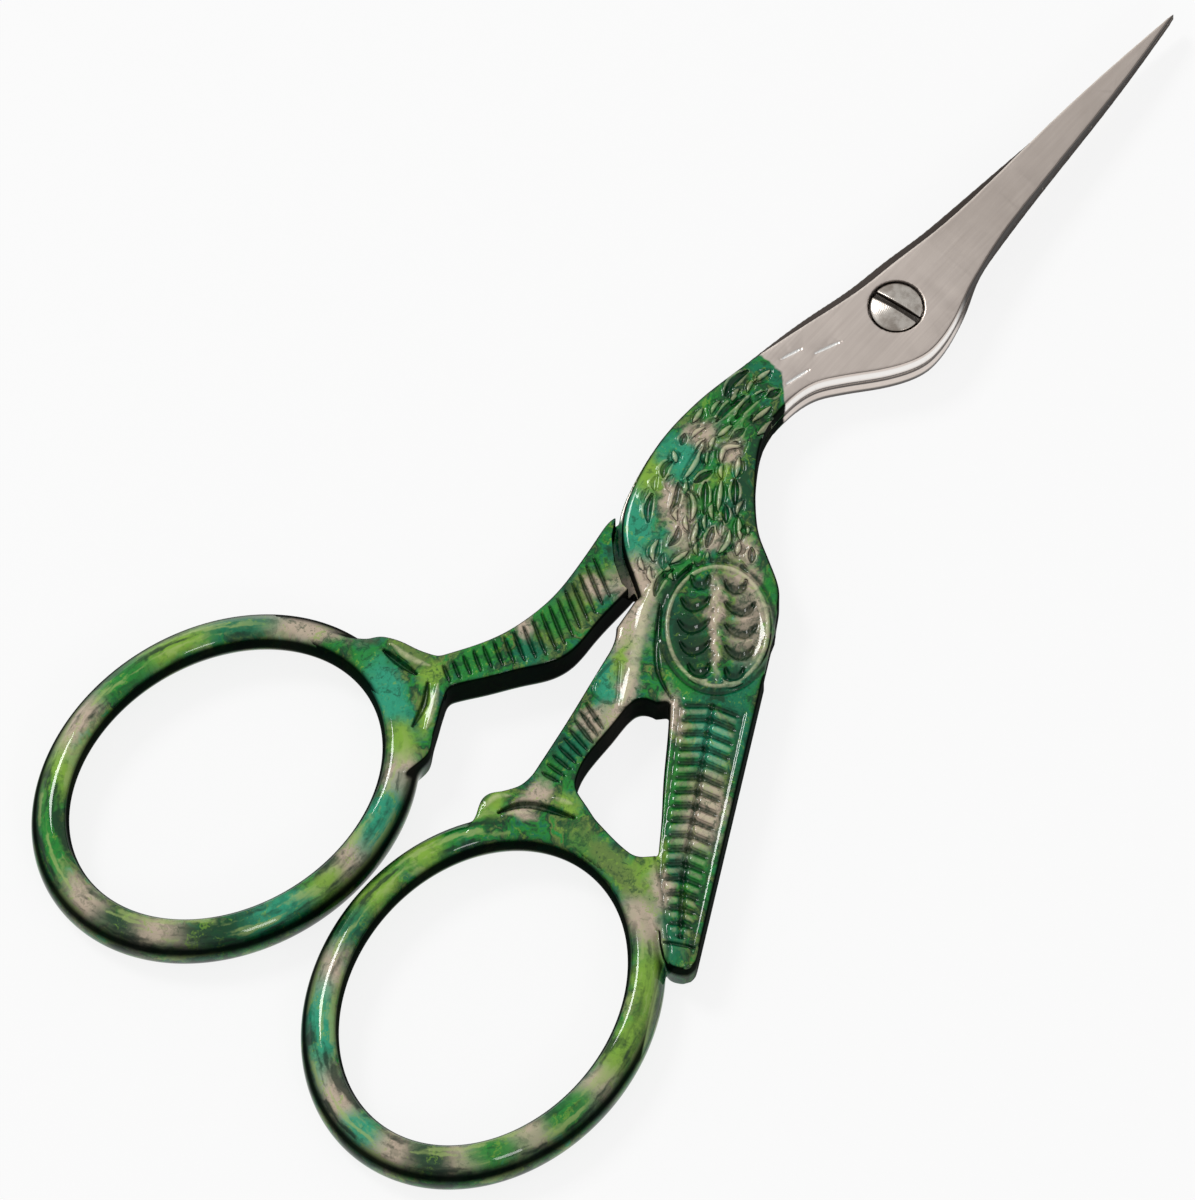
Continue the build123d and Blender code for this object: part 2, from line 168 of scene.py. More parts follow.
print("a spline through 4 points:", len(bend([(0, 0), (1, 1), (2, 1), (3, 0)])), "points")

# %% [markdown]
# ## From shares to millimetres
# Each share needs a place to be measured from: the blade's length, the bird's middle line, or the line
# from a hip to an ankle. Small functions turn whole lists of shares at once, so that both halves can use
# the same lists.

# %% The places that outlines are measured from
def on_blade(shares, shift):
    length, width = np.array(shares).T
    rise = TIP_RISE * length + shift * (1 - length)
    return np.stack([BLADE_LENGTH * length, rise + BLADE_WIDTH * width], 1)


def on_body(shares, height, shift=0.0):
    length, rise = np.array(shares).T
    return np.stack([-BODY_LENGTH * length, height * rise + shift], 1)


def on_leg(hip, ankle, shares):
    length, offset = np.array(shares).T
    run = ankle - hip
    beside = np.array([run[1], -run[0]]) / np.hypot(*run)
    return hip + run * length[:, None] + beside * (offset * LEG_WIDTH)[:, None]


print("the blade's widest point in mm:", on_blade(BLADE_EDGE[:1], 0)[0].round(2))


# %% [markdown]
# ## The finger bows
# A bow is an oval of round wire that grows out of the leg, and the bird's foot clasps it. A torus could
# make the wire, but the foot has to follow the same oval. So a class knows where the bow lies, and
# measures both from there.

# %% A finger bow
class Bow:
    """A finger bow: where it lies, and points round it."""

    def __init__(self, side, reach):
        self.turn = -side * math.radians(BOW_SPLAY)
        self.length, self.width = BOW_HOLE_LENGTH / 2 + WIRE_REACH, BOW_HOLE_WIDTH / 2 + WIRE_REACH
        stand_off = math.hypot(
            (self.length + WIRE_REACH) * math.sin(self.turn), (self.width + WIRE_REACH) * math.cos(self.turn)
        )
        self.centre = np.array([-reach, side * (BOW_GAP / 2 + stand_off)])

    def at(self, angles, proud):
        angles, reach = np.radians(angles), WIRE_REACH + np.array(proud)
        x, y = (self.length + reach) * np.cos(angles), (self.width + reach) * np.sin(angles)
        cos, sin = math.cos(self.turn), math.sin(self.turn)
        return self.centre + np.stack([x * cos - y * sin, x * sin + y * cos], -1)

    def foot(self, shares):
        angles, depth = np.array(shares).T
        outer = bend(self.at(angles, depth * FOOT_DEPTH))
        inner = self.at(np.linspace(angles[-1], angles[0], 60), -WIRE_REACH)
        return np.concatenate([outer, inner])


print("the wire reaches", round(WIRE_REACH, 2), "mm to each side of its middle")

# %% Hips, ankles and the tail's line
front_bow, back_bow = Bow(-1, BOW_REACH), Bow(1, BOW_REACH - BOW_STAGGER)
front_hip, back_hip = on_body([FRONT_HIP], CHEST_DEPTH)[0], on_body([BACK_HIP], NECK_RISE)[0]
front_ankle, back_ankle = front_bow.at(FRONT_ANKLE_ANGLE, 0), back_bow.at(BACK_ANKLE_ANGLE, 0)
tail_root = on_body(BREAST[:1], CHEST_DEPTH)[0]
tail_rest = front_bow.at(TAIL_REST_ANGLE, TAIL_REST_SHARE * TAIL_WIDTH)
tail_length = np.hypot(*(tail_rest - tail_root)) + TAIL_OVERHANG
tail_along = (tail_rest - tail_root) / np.hypot(*(tail_rest - tail_root))
tail_across = np.array([tail_along[1], -tail_along[0]])
print("bow centres in mm:", front_bow.centre.round(2), back_bow.centre.round(2))

# %% The outlines of the two halves
def bird(shift):
    back = np.concatenate([on_blade(BLADE_BACK, shift), on_body(NAPE, NECK_RISE, shift)])
    crown = np.array(CROWN) * HEAD_DROP
    edge = np.concatenate([on_body(BREAST, CHEST_DEPTH), crown, on_blade(BLADE_EDGE, shift)])
    return np.concatenate([bend(back), on_body(RUMP, CHEST_DEPTH), bend(edge)])


def leg(hip, ankle, top, base):
    return np.concatenate([bend(on_leg(hip, ankle, top)), bend(on_leg(hip, ankle, base))])


def on_tail(shares):
    length, width = np.array(shares).T
    beside = tail_across * (width * TAIL_WIDTH)[:, None]
    return tail_root + tail_along * (length * tail_length)[:, None] + beside


TAIL_END = [(0.985, 0.335), (1.0, 0.27), (1.004, 0.17), (0.997, 0.06), (0.975, 0.005)]
tail = np.concatenate([bend(on_tail(TAIL_INNER[:-1] + TAIL_END)), on_tail([(0.96, 0.0), (0.0, 0.0)])])
front_leg = leg(front_hip, front_ankle, FRONT_LEG_TOP, FRONT_LEG_BASE)
back_leg = leg(back_hip, back_ankle, BACK_LEG_TOP, BACK_LEG_BASE)
print("tail length in mm:", round(float(tail_length), 2))

# %% [markdown]
# ## A sheet of distances
# The halves are die-forged, so their edges are round, their corners are filled and their ornament stands
# in relief. Bevels and booleans would have to be repeated for each detail. Here each half is worked out
# as a field of distances instead: every point of a fine grid says how far it lies from the metal's
# surface, and the skin is drawn where that is zero. Seen from above, an outline gives such distances on a
# flat sheet.

# %% The sheet
PITCH = 0.085
FAR = 4.0  # outline distances are worked out no further than this


class Sheet:
    """A grid of points over a half, seen from above, and distances measured on it."""

    def __init__(self, low, high, pitch=PITCH):
        self.low, self.pitch = np.array(low, float), pitch
        self.count = ((np.array(high) - self.low) / pitch).astype(int)
        rows = [low + pitch * np.arange(n) for low, n in zip(self.low, self.count)]
        self.x, self.y = np.meshgrid(*rows, indexing="ij")

    def window(self, points, reach):
        first = ((points.min(0) - reach - self.low) / self.pitch).astype(int).clip(0, self.count)
        last = ((points.max(0) + reach - self.low) / self.pitch).astype(int).clip(-1, self.count) + 1
        return slice(first[0], last[0]), slice(first[1], last[1])

    def crop(self, points, reach):
        """The part of the sheet round some points."""
        part = copy.copy(self)
        part.place = self.window(np.array(points), reach)
        part.x, part.y = self.x[part.place], self.y[part.place]
        part.low = np.array([part.x.min(), part.y.min()]) if part.x.size else self.low
        part.count = np.array(part.x.shape)
        return part

    def read(self, field, points):
        """A field's values at any points, blended from the four nearest grid points."""
        at = (np.array(points) - self.low) / self.pitch
        first = np.floor(at).astype(int).clip(0, self.count - 2)
        (i, j), (s, t) = first.T, (at - first).clip(0, 1).T
        near = field[i, j] * (1 - t) + field[i, j + 1] * t
        return near * (1 - s) + (field[i + 1, j] * (1 - t) + field[i + 1, j + 1] * t) * s

    def near(self, line, reach):
        """The distance from an open line, the distance along it, and which side, within reach."""
        line = np.array(line, float)
        gap, along, side = np.full(self.x.shape, float(reach)), np.zeros(self.x.shape), np.zeros(self.x.shape)
        run = 0.0
        for a, b in zip(line[:-1], line[1:]):
            w = self.window(np.stack([a, b]), reach)
            d, x, y = b - a, self.x[w] - a[0], self.y[w] - a[1]
            length = max(math.hypot(*d), 1e-9)
            t = np.clip((x * d[0] + y * d[1]) / length**2, 0, 1)
            here = np.hypot(x - t * d[0], y - t * d[1])
            closer = here < gap[w]
            gap[w][closer] = here[closer]
            along[w][closer] = (run + t * length)[closer]
            side[w][closer] = np.sign(d[0] * y - d[1] * x)[closer]
            run += length
        return gap, along, side

    def inside(self, loop):
        """Distances from a closed outline, below zero inside it."""
        loop = np.concatenate([loop, loop[:1]])
        gap = self.near(loop, FAR)[0]
        within = np.zeros(self.x.shape, bool)
        for (x0, y0), (x1, y1) in zip(loop[:-1], loop[1:]):
            (xa, ya), (xb, yb) = ((x0, y0), (x1, y1)) if x0 < x1 else ((x1, y1), (x0, y0))
            first, last = (math.ceil((x - self.low[0]) / self.pitch) for x in (xa, xb))
            for i in range(max(first, 0), min(last, self.count[0])):
                y = ya + (yb - ya) * (self.low[0] + i * self.pitch - xa) / (xb - xa)
                within[i, max(0, math.ceil((y - self.low[1]) / self.pitch)):] ^= True
        return np.where(within, -gap, gap)


print("grid points every", PITCH, "mm")


# %% [markdown]
# ## Filled corners
# Hot metal can't fill a sharp corner of a die, so a forging has a small fillet wherever two forms meet. A
# bevel would need a clean edge there. With distances, the lower of the two is lowered a little more where
# both are nearly alike, and that fills the corner.

# %% Fillets and smooth steps
def soft_min(a, b, fillet):
    """The nearer of two surfaces, with the corner between them filled."""
    h = np.maximum(fillet - np.abs(a - b), 0) / fillet
    return np.minimum(a, b) - h * h * fillet / 4


def ease(low, high, value):
    """0 below low and 1 above high, with a smooth step between them."""
    t = np.clip((value - low) / (high - low), 0, 1)
    return t * t * (3 - 2 * t)


MARGIN = 0.6
front_sheet = Sheet((-63.4 - MARGIN, -20.9 - MARGIN), (26.6 + MARGIN, 5.3 + MARGIN))
back_sheet = Sheet((-62.9 - MARGIN, -9.3 - MARGIN), (26.6 + MARGIN, 20.9 + MARGIN))
print("sheets:", front_sheet.x.shape, back_sheet.x.shape)

# %% Distances from the outlines
def oval(bow):
    """The middle line of a bow's wire."""
    return bow.at(np.linspace(0, 360, 541)[:-1], -WIRE_REACH)


front_bird = front_sheet.inside(bird(0))
front_tail, front_leg_flat = front_sheet.inside(tail), front_sheet.inside(front_leg)
front_foot = front_sheet.inside(front_bow.foot(FRONT_FOOT))
front_oval = front_sheet.inside(oval(front_bow))
back_bird = back_sheet.inside(bird(BACK_BLADE_SHIFT))
back_leg_flat = back_sheet.inside(back_leg)
back_foot = back_sheet.inside(back_bow.foot(BACK_FOOT))
back_oval = back_sheet.inside(oval(back_bow))
print("distances worked out for", front_bird.size + back_bird.size, "points of each outline")

# %% [markdown]
# ## From a sheet to a solid
# A plate with round edges, a leaning wire and a counterbore each have a short formula for the distance.
# The lower of two distances joins two forms, and the higher one cuts. OpenVDB, which comes with Blender,
# then draws the skin.

# %% Round-edged plates and leaning wire
def plate(flat, low, high, z, edge):
    """A plate between two heights, with its edges rounded."""
    a, b = flat + edge, np.maximum(z - high, low - z) + edge
    return np.minimum(np.maximum(a, b), 0) + np.hypot(np.maximum(a, 0), np.maximum(b, 0)) - edge


def wire(gap, z):
    """A bow's wire: an oval that leans outwards at the bottom. gap is how far outwards a point is."""
    cos, sin = math.cos(WIRE_LEAN), math.sin(WIRE_LEAN)
    down = THICKNESS / 2 - z
    u, v = gap * cos - down * sin, gap * sin + down * cos
    a, b = WIRE_WIDTH / 2, WIRE_HEIGHT / 2
    k = np.sqrt((u / a) ** 2 + (v / b) ** 2) + 1e-6
    return k * (k - 1) / (np.sqrt((u / a**2) ** 2 + (v / b**2) ** 2) + 1e-6)


print("distance 2 mm outside the wire's middle:", round(float(wire(2.0, THICKNESS / 2)), 2), "mm")


# %% Reading a solid grid and a mesh
def sample(solid, places):
    """Values between the points of a solid grid, blended from the eight nearest."""
    first = np.floor(places).astype(int).clip(0, np.array(solid.shape) - 2)
    share = (places - first).clip(0, 1)
    total = 0
    for corner in np.ndindex(2, 2, 2):
        weight = np.prod(np.where(corner, share, 1 - share), axis=1)
        total = total + weight * solid[tuple((first + corner).T)]
    return total


def spots(items, key="co"):
    """The places of a mesh's vertices, or of its faces' centres, in millimetres."""
    places = np.empty(3 * len(items))
    items.foreach_get(key, places)
    return places.reshape(-1, 3) / MM


cell = np.eye(2)[:, :, None].repeat(2, 2)
print("the middle of a cell of ones and noughts:", sample(cell, np.full((1, 3), 0.5))[0])

# %% [markdown]
# ## Drawing the skin
# The rule of each half is worked out only near its metal. The skin has more faces than the shape needs, so
# it is thinned with a Decimate modifier. Its normals then come from the grid, which keeps the shading as
# smooth as the distances were.

# %% Drawing the skin
BAND = 0.4  # distances further than this from the skin don't matter
SPARE_CELLS = 5  # above and below the metal
MOST_FACES = 190000


def solid_grid(sheet, rule, fields, top):
    """Distances on a solid grid, from a rule and flat fields, and the place of the grid's first point."""
    pitch = sheet.pitch
    heights = -0.5 * pitch + pitch * np.arange(1 - SPARE_CELLS, int(top / pitch) + 1 + SPARE_CELLS)
    near = fields.pop("extent") < 0.5
    columns = {key: value[near][:, None] for key, value in fields.items()}
    solid = np.full((*sheet.x.shape, len(heights)), BAND, np.float32)
    solid[near] = np.clip(np.maximum(rule(heights[None, :], **columns), -heights), -BAND, BAND)
    return solid, np.array([*sheet.low, heights[0]])


def skin(sheet, rule, fields, name, top=THICKNESS):
    """The skin of a solid, thinned, with smooth normals."""
    pitch = sheet.pitch
    solid, origin = solid_grid(sheet, rule, fields, top)
    grid = openvdb.FloatGrid(background=BAND)
    grid.copyFromArray(solid)
    points, triangles, quads = grid.convertToPolygons(isovalue=0.0, adaptivity=0.0)
    mesh = bpy.data.meshes.new(name)
    mesh.from_pydata(((points * pitch + origin) * MM).tolist(), [], triangles.tolist() + quads.tolist())
    piece = bpy.data.objects.new(name, mesh)
    bpy.context.scene.collection.objects.link(piece)
    drawn = len(triangles) + 2 * len(quads)
    thin = piece.modifiers.new("thin", "DECIMATE")
    thin.ratio = min(1.0, MOST_FACES / drawn)
    thinned = piece.evaluated_get(bpy.context.evaluated_depsgraph_get())
    piece.data = bpy.data.meshes.new_from_object(thinned)
    piece.modifiers.clear()
    mesh = piece.data
    mesh.name = name
    mesh.shade_smooth()
    at = (spots(mesh.vertices) - origin) / pitch
    outward = np.stack([sample(solid, at + step) - sample(solid, at - step) for step in 0.6 * np.eye(3)], 1)
    outward /= np.linalg.norm(outward, axis=1)[:, None] + 1e-9
    mesh.normals_split_custom_set_from_vertices(outward.tolist())
    print(name, "drawn with", drawn, "triangles, thinned to", sum(len(p.vertices) - 2 for p in mesh.polygons))
    return piece


print("grid points of the front half:", front_sheet.x.size * (int(THICKNESS / PITCH) + 2 * SPARE_CELLS))

# %% [markdown]
# ## What the finish needs to know
# The enamel is darker in the grooves and has streaks round the bows, partly marbling and partly painted
# reflections. A finish can't see a groove or a bow, but it can read values that are stored at the points of
# the mesh, so both are written there.

# %% Values stored on a skin
STREAK_ALONG, STREAK_ACROSS, STREAK_LEAN = 2.8, 1.5, 0.6


def store(piece, sheet, name, field):
    """Store a flat field's value at each point of a skin."""
    values = sheet.read(field, spots(piece.data.vertices)[:, :2])
    piece.data.attributes.new(name, "FLOAT", "POINT").data.foreach_set("value", values)


def follow(piece, sheet, bow, gap):
    """Store places that change slowly along a bow's wire and fast across it."""
    points = spots(piece.data.vertices)
    x, y = (points[:, :2] - bow.centre).T
    cos, sin = math.cos(bow.turn), math.sin(bow.turn)
    turn = np.arctan2((y * cos - x * sin) / bow.width, (x * cos + y * sin) / bow.length)
    across = sheet.read(gap, points[:, :2]) - STREAK_LEAN * (points[:, 2] - THICKNESS / 2)
    run = np.stack([STREAK_ALONG * np.cos(turn), STREAK_ALONG * np.sin(turn), STREAK_ACROSS * across], 1)
    piece.data.attributes.new("run", "FLOAT_VECTOR", "POINT").data.foreach_set("vector", run.ravel())


print("streaks are", round(STREAK_ACROSS * front_bow.length / STREAK_ALONG, 1), "times as long as wide")


# %% [markdown]
# ## The relief
# The bird's feathers, its wing, the ribs of its tail and the rings on its legs are struck into the metal
# by the forging dies. A bump map would vanish at the edges and in an exported mesh, so the relief is
# real: it is added to the height of the top face before the skin is drawn. Each mark is a line with a
# width and a depth.

# %% Striking lines into a face
BLUNT_END = 0.15  # a pointed mark's ends are never narrower than the root of this share
RIM_MIDDLE, RIM_HALF_WIDTH = 1.35, 0.6  # in half widths of the mark


class Die:
    """The relief that a die leaves on one face: heights above the flat face, in mm."""

    def __init__(self, sheet):
        self.sheet, self.relief = sheet, np.zeros(sheet.x.shape)

    def strike(self, points, width, height, pointed=False, rim=0.0):
        """A rounded ridge along a line, or a groove where the height is below zero."""
        line = bend(points, 0.2) if len(points) > 2 else np.array(points, float)
        reach = width if rim else width / 2
        part = self.sheet.crop(line, reach)
        if not part.x.size:
            return
        gap, along, side = part.near(line, reach)
        half = width / 2
        if pointed:
            share = along / np.hypot(*np.diff(line, axis=0).T).sum()
            half = half * np.sqrt(np.clip(4 * share * (1 - share), BLUNT_END, 1))
        across = gap / half
        self.relief[part.place] += height * (1 - ease(0, 1, across))
        if rim:
            beside = np.maximum(1 - np.abs(across - RIM_MIDDLE) / RIM_HALF_WIDTH, 0)
            self.relief[part.place] += rim * beside * (gap < reach)

    def ribs(self, top, base, count, width, height):
        """Evenly spaced marks from one guide line to another."""
        tops, bases = bend(top, 0.05), bend(base, 0.05)
        for share in np.linspace(0, 1, count):
            a, b = (line[int(share * (len(line) - 1))] for line in (tops, bases))
            self.strike([a, b], width, height, pointed=True)


print("a die strikes lines into", front_sheet.x.size, "grid points")

# %% [markdown]
# ## The feathers
# The plumage is a pattern of short curved marks. The larger ones are listed where the real bird has them,
# and small ones then fill the room between them. A seed makes the random ones the same each time.

# %% The feathers
FEATHERS = [
    [(-11.3, 4.0), (-10.3, 4.25), (-9.2, 4.05)], [(-13.9, 4.35), (-12.9, 4.5)],
    [(-13.0, 3.3), (-11.8, 3.35), (-10.6, 3.1)], [(-9.4, 3.3), (-8.3, 3.05)],
    [(-12.0, 2.55), (-10.8, 2.6), (-9.6, 2.4)], [(-13.7, 2.6), (-12.6, 2.45)],
    [(-13.3, 1.85), (-12.3, 1.7)], [(-11.5, 1.65), (-10.1, 1.45)], [(-9.7, 2.0), (-8.9, 1.75)],
    [(-12.0, 0.85), (-10.6, 0.8)], [(-17.9, 3.3), (-17.3, 3.7), (-16.7, 3.6)], [(-16.6, 3.4), (-16.2, 4.0)],
    [(-15.5, 3.9), (-14.9, 4.2)], [(-17.3, 2.3), (-15.8, 2.5), (-14.6, 2.95)],
    [(-16.9, 1.65), (-15.7, 1.35)], [(-14.9, 1.3), (-14.0, 1.75), (-13.3, 1.1)],
    [(-19.4, 1.4), (-18.5, 1.75), (-17.6, 2.35)], [(-18.9, 0.2), (-18.0, 0.8), (-17.6, 1.5)],
    [(-18.1, -0.1), (-16.5, 1.15)], [(-17.4, -0.6), (-15.8, 0.5)], [(-16.4, -1.1), (-15.2, -0.1)],
    [(-15.0, 0.0), (-13.9, 0.7)], [(-20.75, 2.1), (-20.0, 2.75), (-19.2, 3.1)],
    [(-22.5, 0.2), (-22.0, 0.7), (-21.3, 0.85)], [(-21.1, 0.1), (-20.4, 0.1), (-19.8, 0.45)],
    [(-20.2, -0.9), (-18.7, -0.15)], [(-19.7, -1.7), (-18.5, -1.15)],
    [(-19.5, -2.5), (-18.7, -2.45), (-18.0, -2.05)], [(-17.7, -1.5), (-16.9, -0.75)],
    [(-18.0, -2.9), (-17.0, -1.9)], [(-24.2, -1.4), (-23.2, -0.95), (-22.2, -1.1)],
    [(-21.9, -0.75), (-20.7, -1.0)], [(-23.8, -2.15), (-22.4, -1.9), (-21.2, -1.75)],
    [(-18.9, -3.4), (-18.2, -3.0)], [(-18.7, -4.4), (-18.0, -3.8)], [(-17.4, -3.0), (-17.1, -2.6)],
]
LIGHT_DASHES = [
    [(-7.3, 3.05), (-5.9, 2.55)], [(-5.7, 1.75), (-4.0, 1.05)], [(-8.4, 1.75), (-6.7, 1.3)],
    [(-9.6, 0.6), (-8.1, 0.55)],
]
print("feathers placed by hand:", len(FEATHERS))

# %% Small feathers between them
LIE_OF_PLUMAGE = bend([
    (-8, 2.5), (-9, 2.6), (-12, 2.7), (-15, 2.2), (-18, 0.7), (-20.5, -1.3), (-22.5, -3.8),
])
BARE_PATCHES = [((-21.3, 2.3), 2.0), ((-16.1, 3.6), 1.3)]  # centre and radius
FEATHER_TRIES, FEATHER_ROOM, EDGE_ROOM, WING_START = 900, 0.78, 0.75, -23.5
HALF_FEATHER, FEATHER_BOW = 0.5, 0.12


def small_feathers():
    """Small feathers wherever the placed ones leave room, along the lie of the plumage."""
    draw, drawn, small = random.Random(7), [np.array(f).mean(0) for f in FEATHERS], []
    for _ in range(FEATHER_TRIES):
        step = draw.randrange(5, len(LIE_OF_PLUMAGE) - 5)
        ahead = LIE_OF_PLUMAGE[step + 3] - LIE_OF_PLUMAGE[step - 3]
        ahead /= np.hypot(*ahead)
        place = LIE_OF_PLUMAGE[step] + np.array([-ahead[1], ahead[0]]) * draw.uniform(-3.6, 3.0)
        turn = draw.uniform(-0.35, 0.35)
        cos, sin = math.cos(turn), math.sin(turn)
        along = np.array([ahead[0] * cos - ahead[1] * sin, ahead[0] * sin + ahead[1] * cos])
        bare = any(np.hypot(*(place - centre)) < radius for centre, radius in BARE_PATCHES)
        on_bird = front_sheet.read(front_bird, [place])[0] < -EDGE_ROOM and place[0] > WING_START
        if on_bird and not bare and all(np.hypot(*(place - other)) > FEATHER_ROOM for other in drawn):
            drawn.append(place)
            middle = place + np.array([along[1], -along[0]]) * FEATHER_BOW
            small.append([place - along * HALF_FEATHER, middle, place + along * HALF_FEATHER])
    return small


SMALL_FEATHERS = small_feathers()
print("small feathers:", len(SMALL_FEATHERS))


# %% Striking the feathers
FEATHER_WIDTH, SMALL_FEATHER_WIDTH, DASH_WIDTH, DASH_HEIGHT = 0.5, 0.42, 0.26, -0.07
RAISED, SUNK = (0.12, -0.15), (-0.17, 0.1)  # the height of a feather, and of its rim
SMALL_RAISED, SMALL_SUNK = (0.1, -0.12), (-0.1, 0.07)


def strike_feathers(die):
    """Raised and sunk feathers by turns, each with a rim that goes the other way."""
    for k, feather in enumerate(FEATHERS):
        height, rim = RAISED if k % 2 else SUNK
        die.strike(feather, FEATHER_WIDTH, height, pointed=True, rim=rim)
    for k, feather in enumerate(SMALL_FEATHERS):
        height, rim = SMALL_RAISED if k % 3 < 2 else SMALL_SUNK
        die.strike(feather, SMALL_FEATHER_WIDTH, height, pointed=True, rim=rim)
    for dash in LIGHT_DASHES:
        die.strike(dash, DASH_WIDTH, DASH_HEIGHT, pointed=True)


print("dashes on the bare neck:", len(LIGHT_DASHES))

# %% [markdown]
# ## The wing
# The wing is a shallow oval dish with a raised rim, a wavy midrib and two rows of hooked feathers. One
# distance from the oval shapes the dish and the rim, and the same strikes as before make the feathers.

# %% The wing
WING_FEATHERS, WING_FEATHER_PITCH = 5, 1.45
wing_cos, wing_sin = math.cos(WING_TURN), math.sin(WING_TURN)


def on_wing(points):
    along, across = np.array(points, float).T
    x = WING_CENTRE[0] + along * wing_cos - across * wing_sin
    y = WING_CENTRE[1] + along * wing_sin + across * wing_cos
    return np.stack([x, y], 1)


def ridge(gap, middle, width):
    """1 at the middle of a soft band beside an outline, and 0 away from it."""
    return np.exp(-((gap - middle) / width) ** 2)


def strike_dish(die, rim):
    """Clear an oval of the body's feathers, sink it a little and raise its rim."""
    x, y = die.sheet.x - WING_CENTRE[0], die.sheet.y - WING_CENTRE[1]
    along, across = x * wing_cos + y * wing_sin, y * wing_cos - x * wing_sin
    size = np.hypot(along / (WING_LENGTH / 2), across / (WING_WIDTH / 2)) + 1e-6
    gap = np.hypot(along, across) * (1 - 1 / size)
    die.relief *= ease(-0.1, 0.5, gap)
    die.relief += rim * ridge(gap, -0.15, 0.13) - 0.16 * ridge(gap, 0.3, 0.16)
    die.relief -= 0.1 * (1 - ease(-0.7, -0.3, gap))


def strike_wing(die, rim):
    strike_dish(die, rim)
    die.strike(on_wing([(t, 0.16 * math.sin(4.3 * t)) for t in np.linspace(-3.3, 3.1, 25)]), 0.8, 0.16)
    for side in (-1, 1):
        for k in range(WING_FEATHERS):
            at = (k - (WING_FEATHERS - 1) / 2) * WING_FEATHER_PITCH + 0.15 * side
            wide = side * math.sqrt(1 - (at / (WING_LENGTH / 2)) ** 2)
            hook = [(at + 0.35, 0.5 * side), (at - 0.2, 1.1 * wide), (at - 0.3, 1.8 * wide)]
            die.strike(on_wing(hook + [(at + 0.3, 2.35 * wide)]), 0.72, -0.22, pointed=True)
            crest = [(at - 0.4, 0.3 * side), (at - 0.85, 1.1 * wide), (at - 0.7, 2.2 * wide)]
            die.strike(on_wing(crest), 0.5, 0.12, pointed=True)


print("feathers on the wing:", 2 * WING_FEATHERS)

# %% [markdown]
# ## The tail and the legs
# The tail has two rows of ribs that meet in a line, like a feather's barbs. They are even, so a wave
# along the tail makes them. The legs' ribs are a few separate marks between two guide lines, and the feet
# and thigh have creases.

# %% The tail's ribs
RIBS_OUTER = ((0.22, 0.14), (0.96, 0.1))
RIBS_INNER = ((0.25, 0.8), (0.75, 0.58), (0.96, 0.3))


def strike_tail(die):
    """Two rows of ribs that lean back from a middle line, an edge line, and a last groove."""
    x, y = die.sheet.x - tail_root[0], die.sheet.y - tail_root[1]
    along, across = x * tail_along[0] + y * tail_along[1], x * tail_across[0] + y * tail_across[1]
    share = along / tail_length
    outer, inner = (np.interp(share, *zip(*table)) * TAIL_WIDTH for table in (RIBS_OUTER, RIBS_INNER))
    middle, half = (outer + inner) / 2, (inner - outer) / 2
    off = np.abs(across - middle)
    begun, ended = ease(0.235, 0.26, share), ease(0.93, 0.915, share)
    phase = (along - 0.22 * off) / TAIL_RIB_PITCH
    groove = 0.5 + 0.5 * np.cos(2 * math.pi * phase)
    band = ease(0.0, 0.5, half - off + 0.15) * begun * ended
    die.relief += band * (0.06 - 0.27 * groove**2.2 - 0.2 * ridge(off, 0, 0.16))
    die.relief -= 0.12 * ridge(half - off, -0.12, 0.16) * begun
    end = tail_length - 1.35
    last = np.array([tail_along * end + tail_across * u for u in (0.25, 2.2)])
    die.strike(tail_root + last, 0.45, -0.25, pointed=True)


print("the tail's length in ribs:", round(float(tail_length / TAIL_RIB_PITCH), 1))

# %% The legs and feet
FRONT_LEG_RIBS = (
    [(-37.5, -3.85), (-35.5, -3.5), (-32.3, -2.85)],
    [(-37.3, -4.95), (-35.2, -4.95), (-32.9, -4.75)],
)
BACK_LEG_RIBS = (
    [(-36.0, 5.35), (-33.5, 4.3), (-31.0, 3.35), (-27.8, 2.95), (-24.7, 3.05)],
    [(-36.6, 4.3), (-33.6, 2.55), (-31.4, 1.05), (-28.0, 0.6), (-26.0, 0.65)],
)
FRONT_RECESS = [(-41.2, -3.55), (-40.4, -3.9), (-39.6, -4.6), (-39.0, -5.8), (-38.5, -7.2)]
FRONT_FACET = [(-41.2, -3.9), (-40.5, -4.4), (-39.9, -5.3)]
FRONT_KNUCKLES = [[(-41.6, -2.75), (-40.6, -2.75), (-39.9, -3.4)], [(-38.3, -5.5), (-37.9, -6.6)]]
BACK_RECESS = [(-37.6, 8.7), (-37.6, 7.4), (-37.5, 6.2)]
BACK_CREASE = [(-37.5, 5.3), (-38.7, 4.55), (-40.3, 4.1)]
BACK_KNUCKLES = [[(-36.6, 5.9), (-37.0, 7.2), (-37.0, 8.6)], [(-37.2, 4.75), (-38.5, 3.95), (-39.9, 3.35)]]
THIGH_CREASE = [(-24.4, -2.0), (-26.4, -3.4), (-28.0, -5.0), (-28.7, -6.6)]
THIGH_RIDGE = [(-23.6, -0.7), (-26.0, -1.9), (-28.8, -3.6), (-31.0, -4.6)]
THIGH_DROP = [
    (-31.6, -3.5), (-31.5, -2.75), (-29.9, -2.25), (-28.9, -2.4), (-30.1, -3.5), (-31.2, -4.1),
    (-31.6, -3.5),
]
print("creases and knuckles on the feet:", 3 + len(FRONT_KNUCKLES) + len(BACK_KNUCKLES))


# %% [markdown]
# ## Striking the halves
# The top die strikes plumage, wing and tail into the front half, and a leg into each half. The photograph
# shows only this side. The underside gets the same plumage, wing and legs, but only their grooves, so that
# the scissors still lie flat.

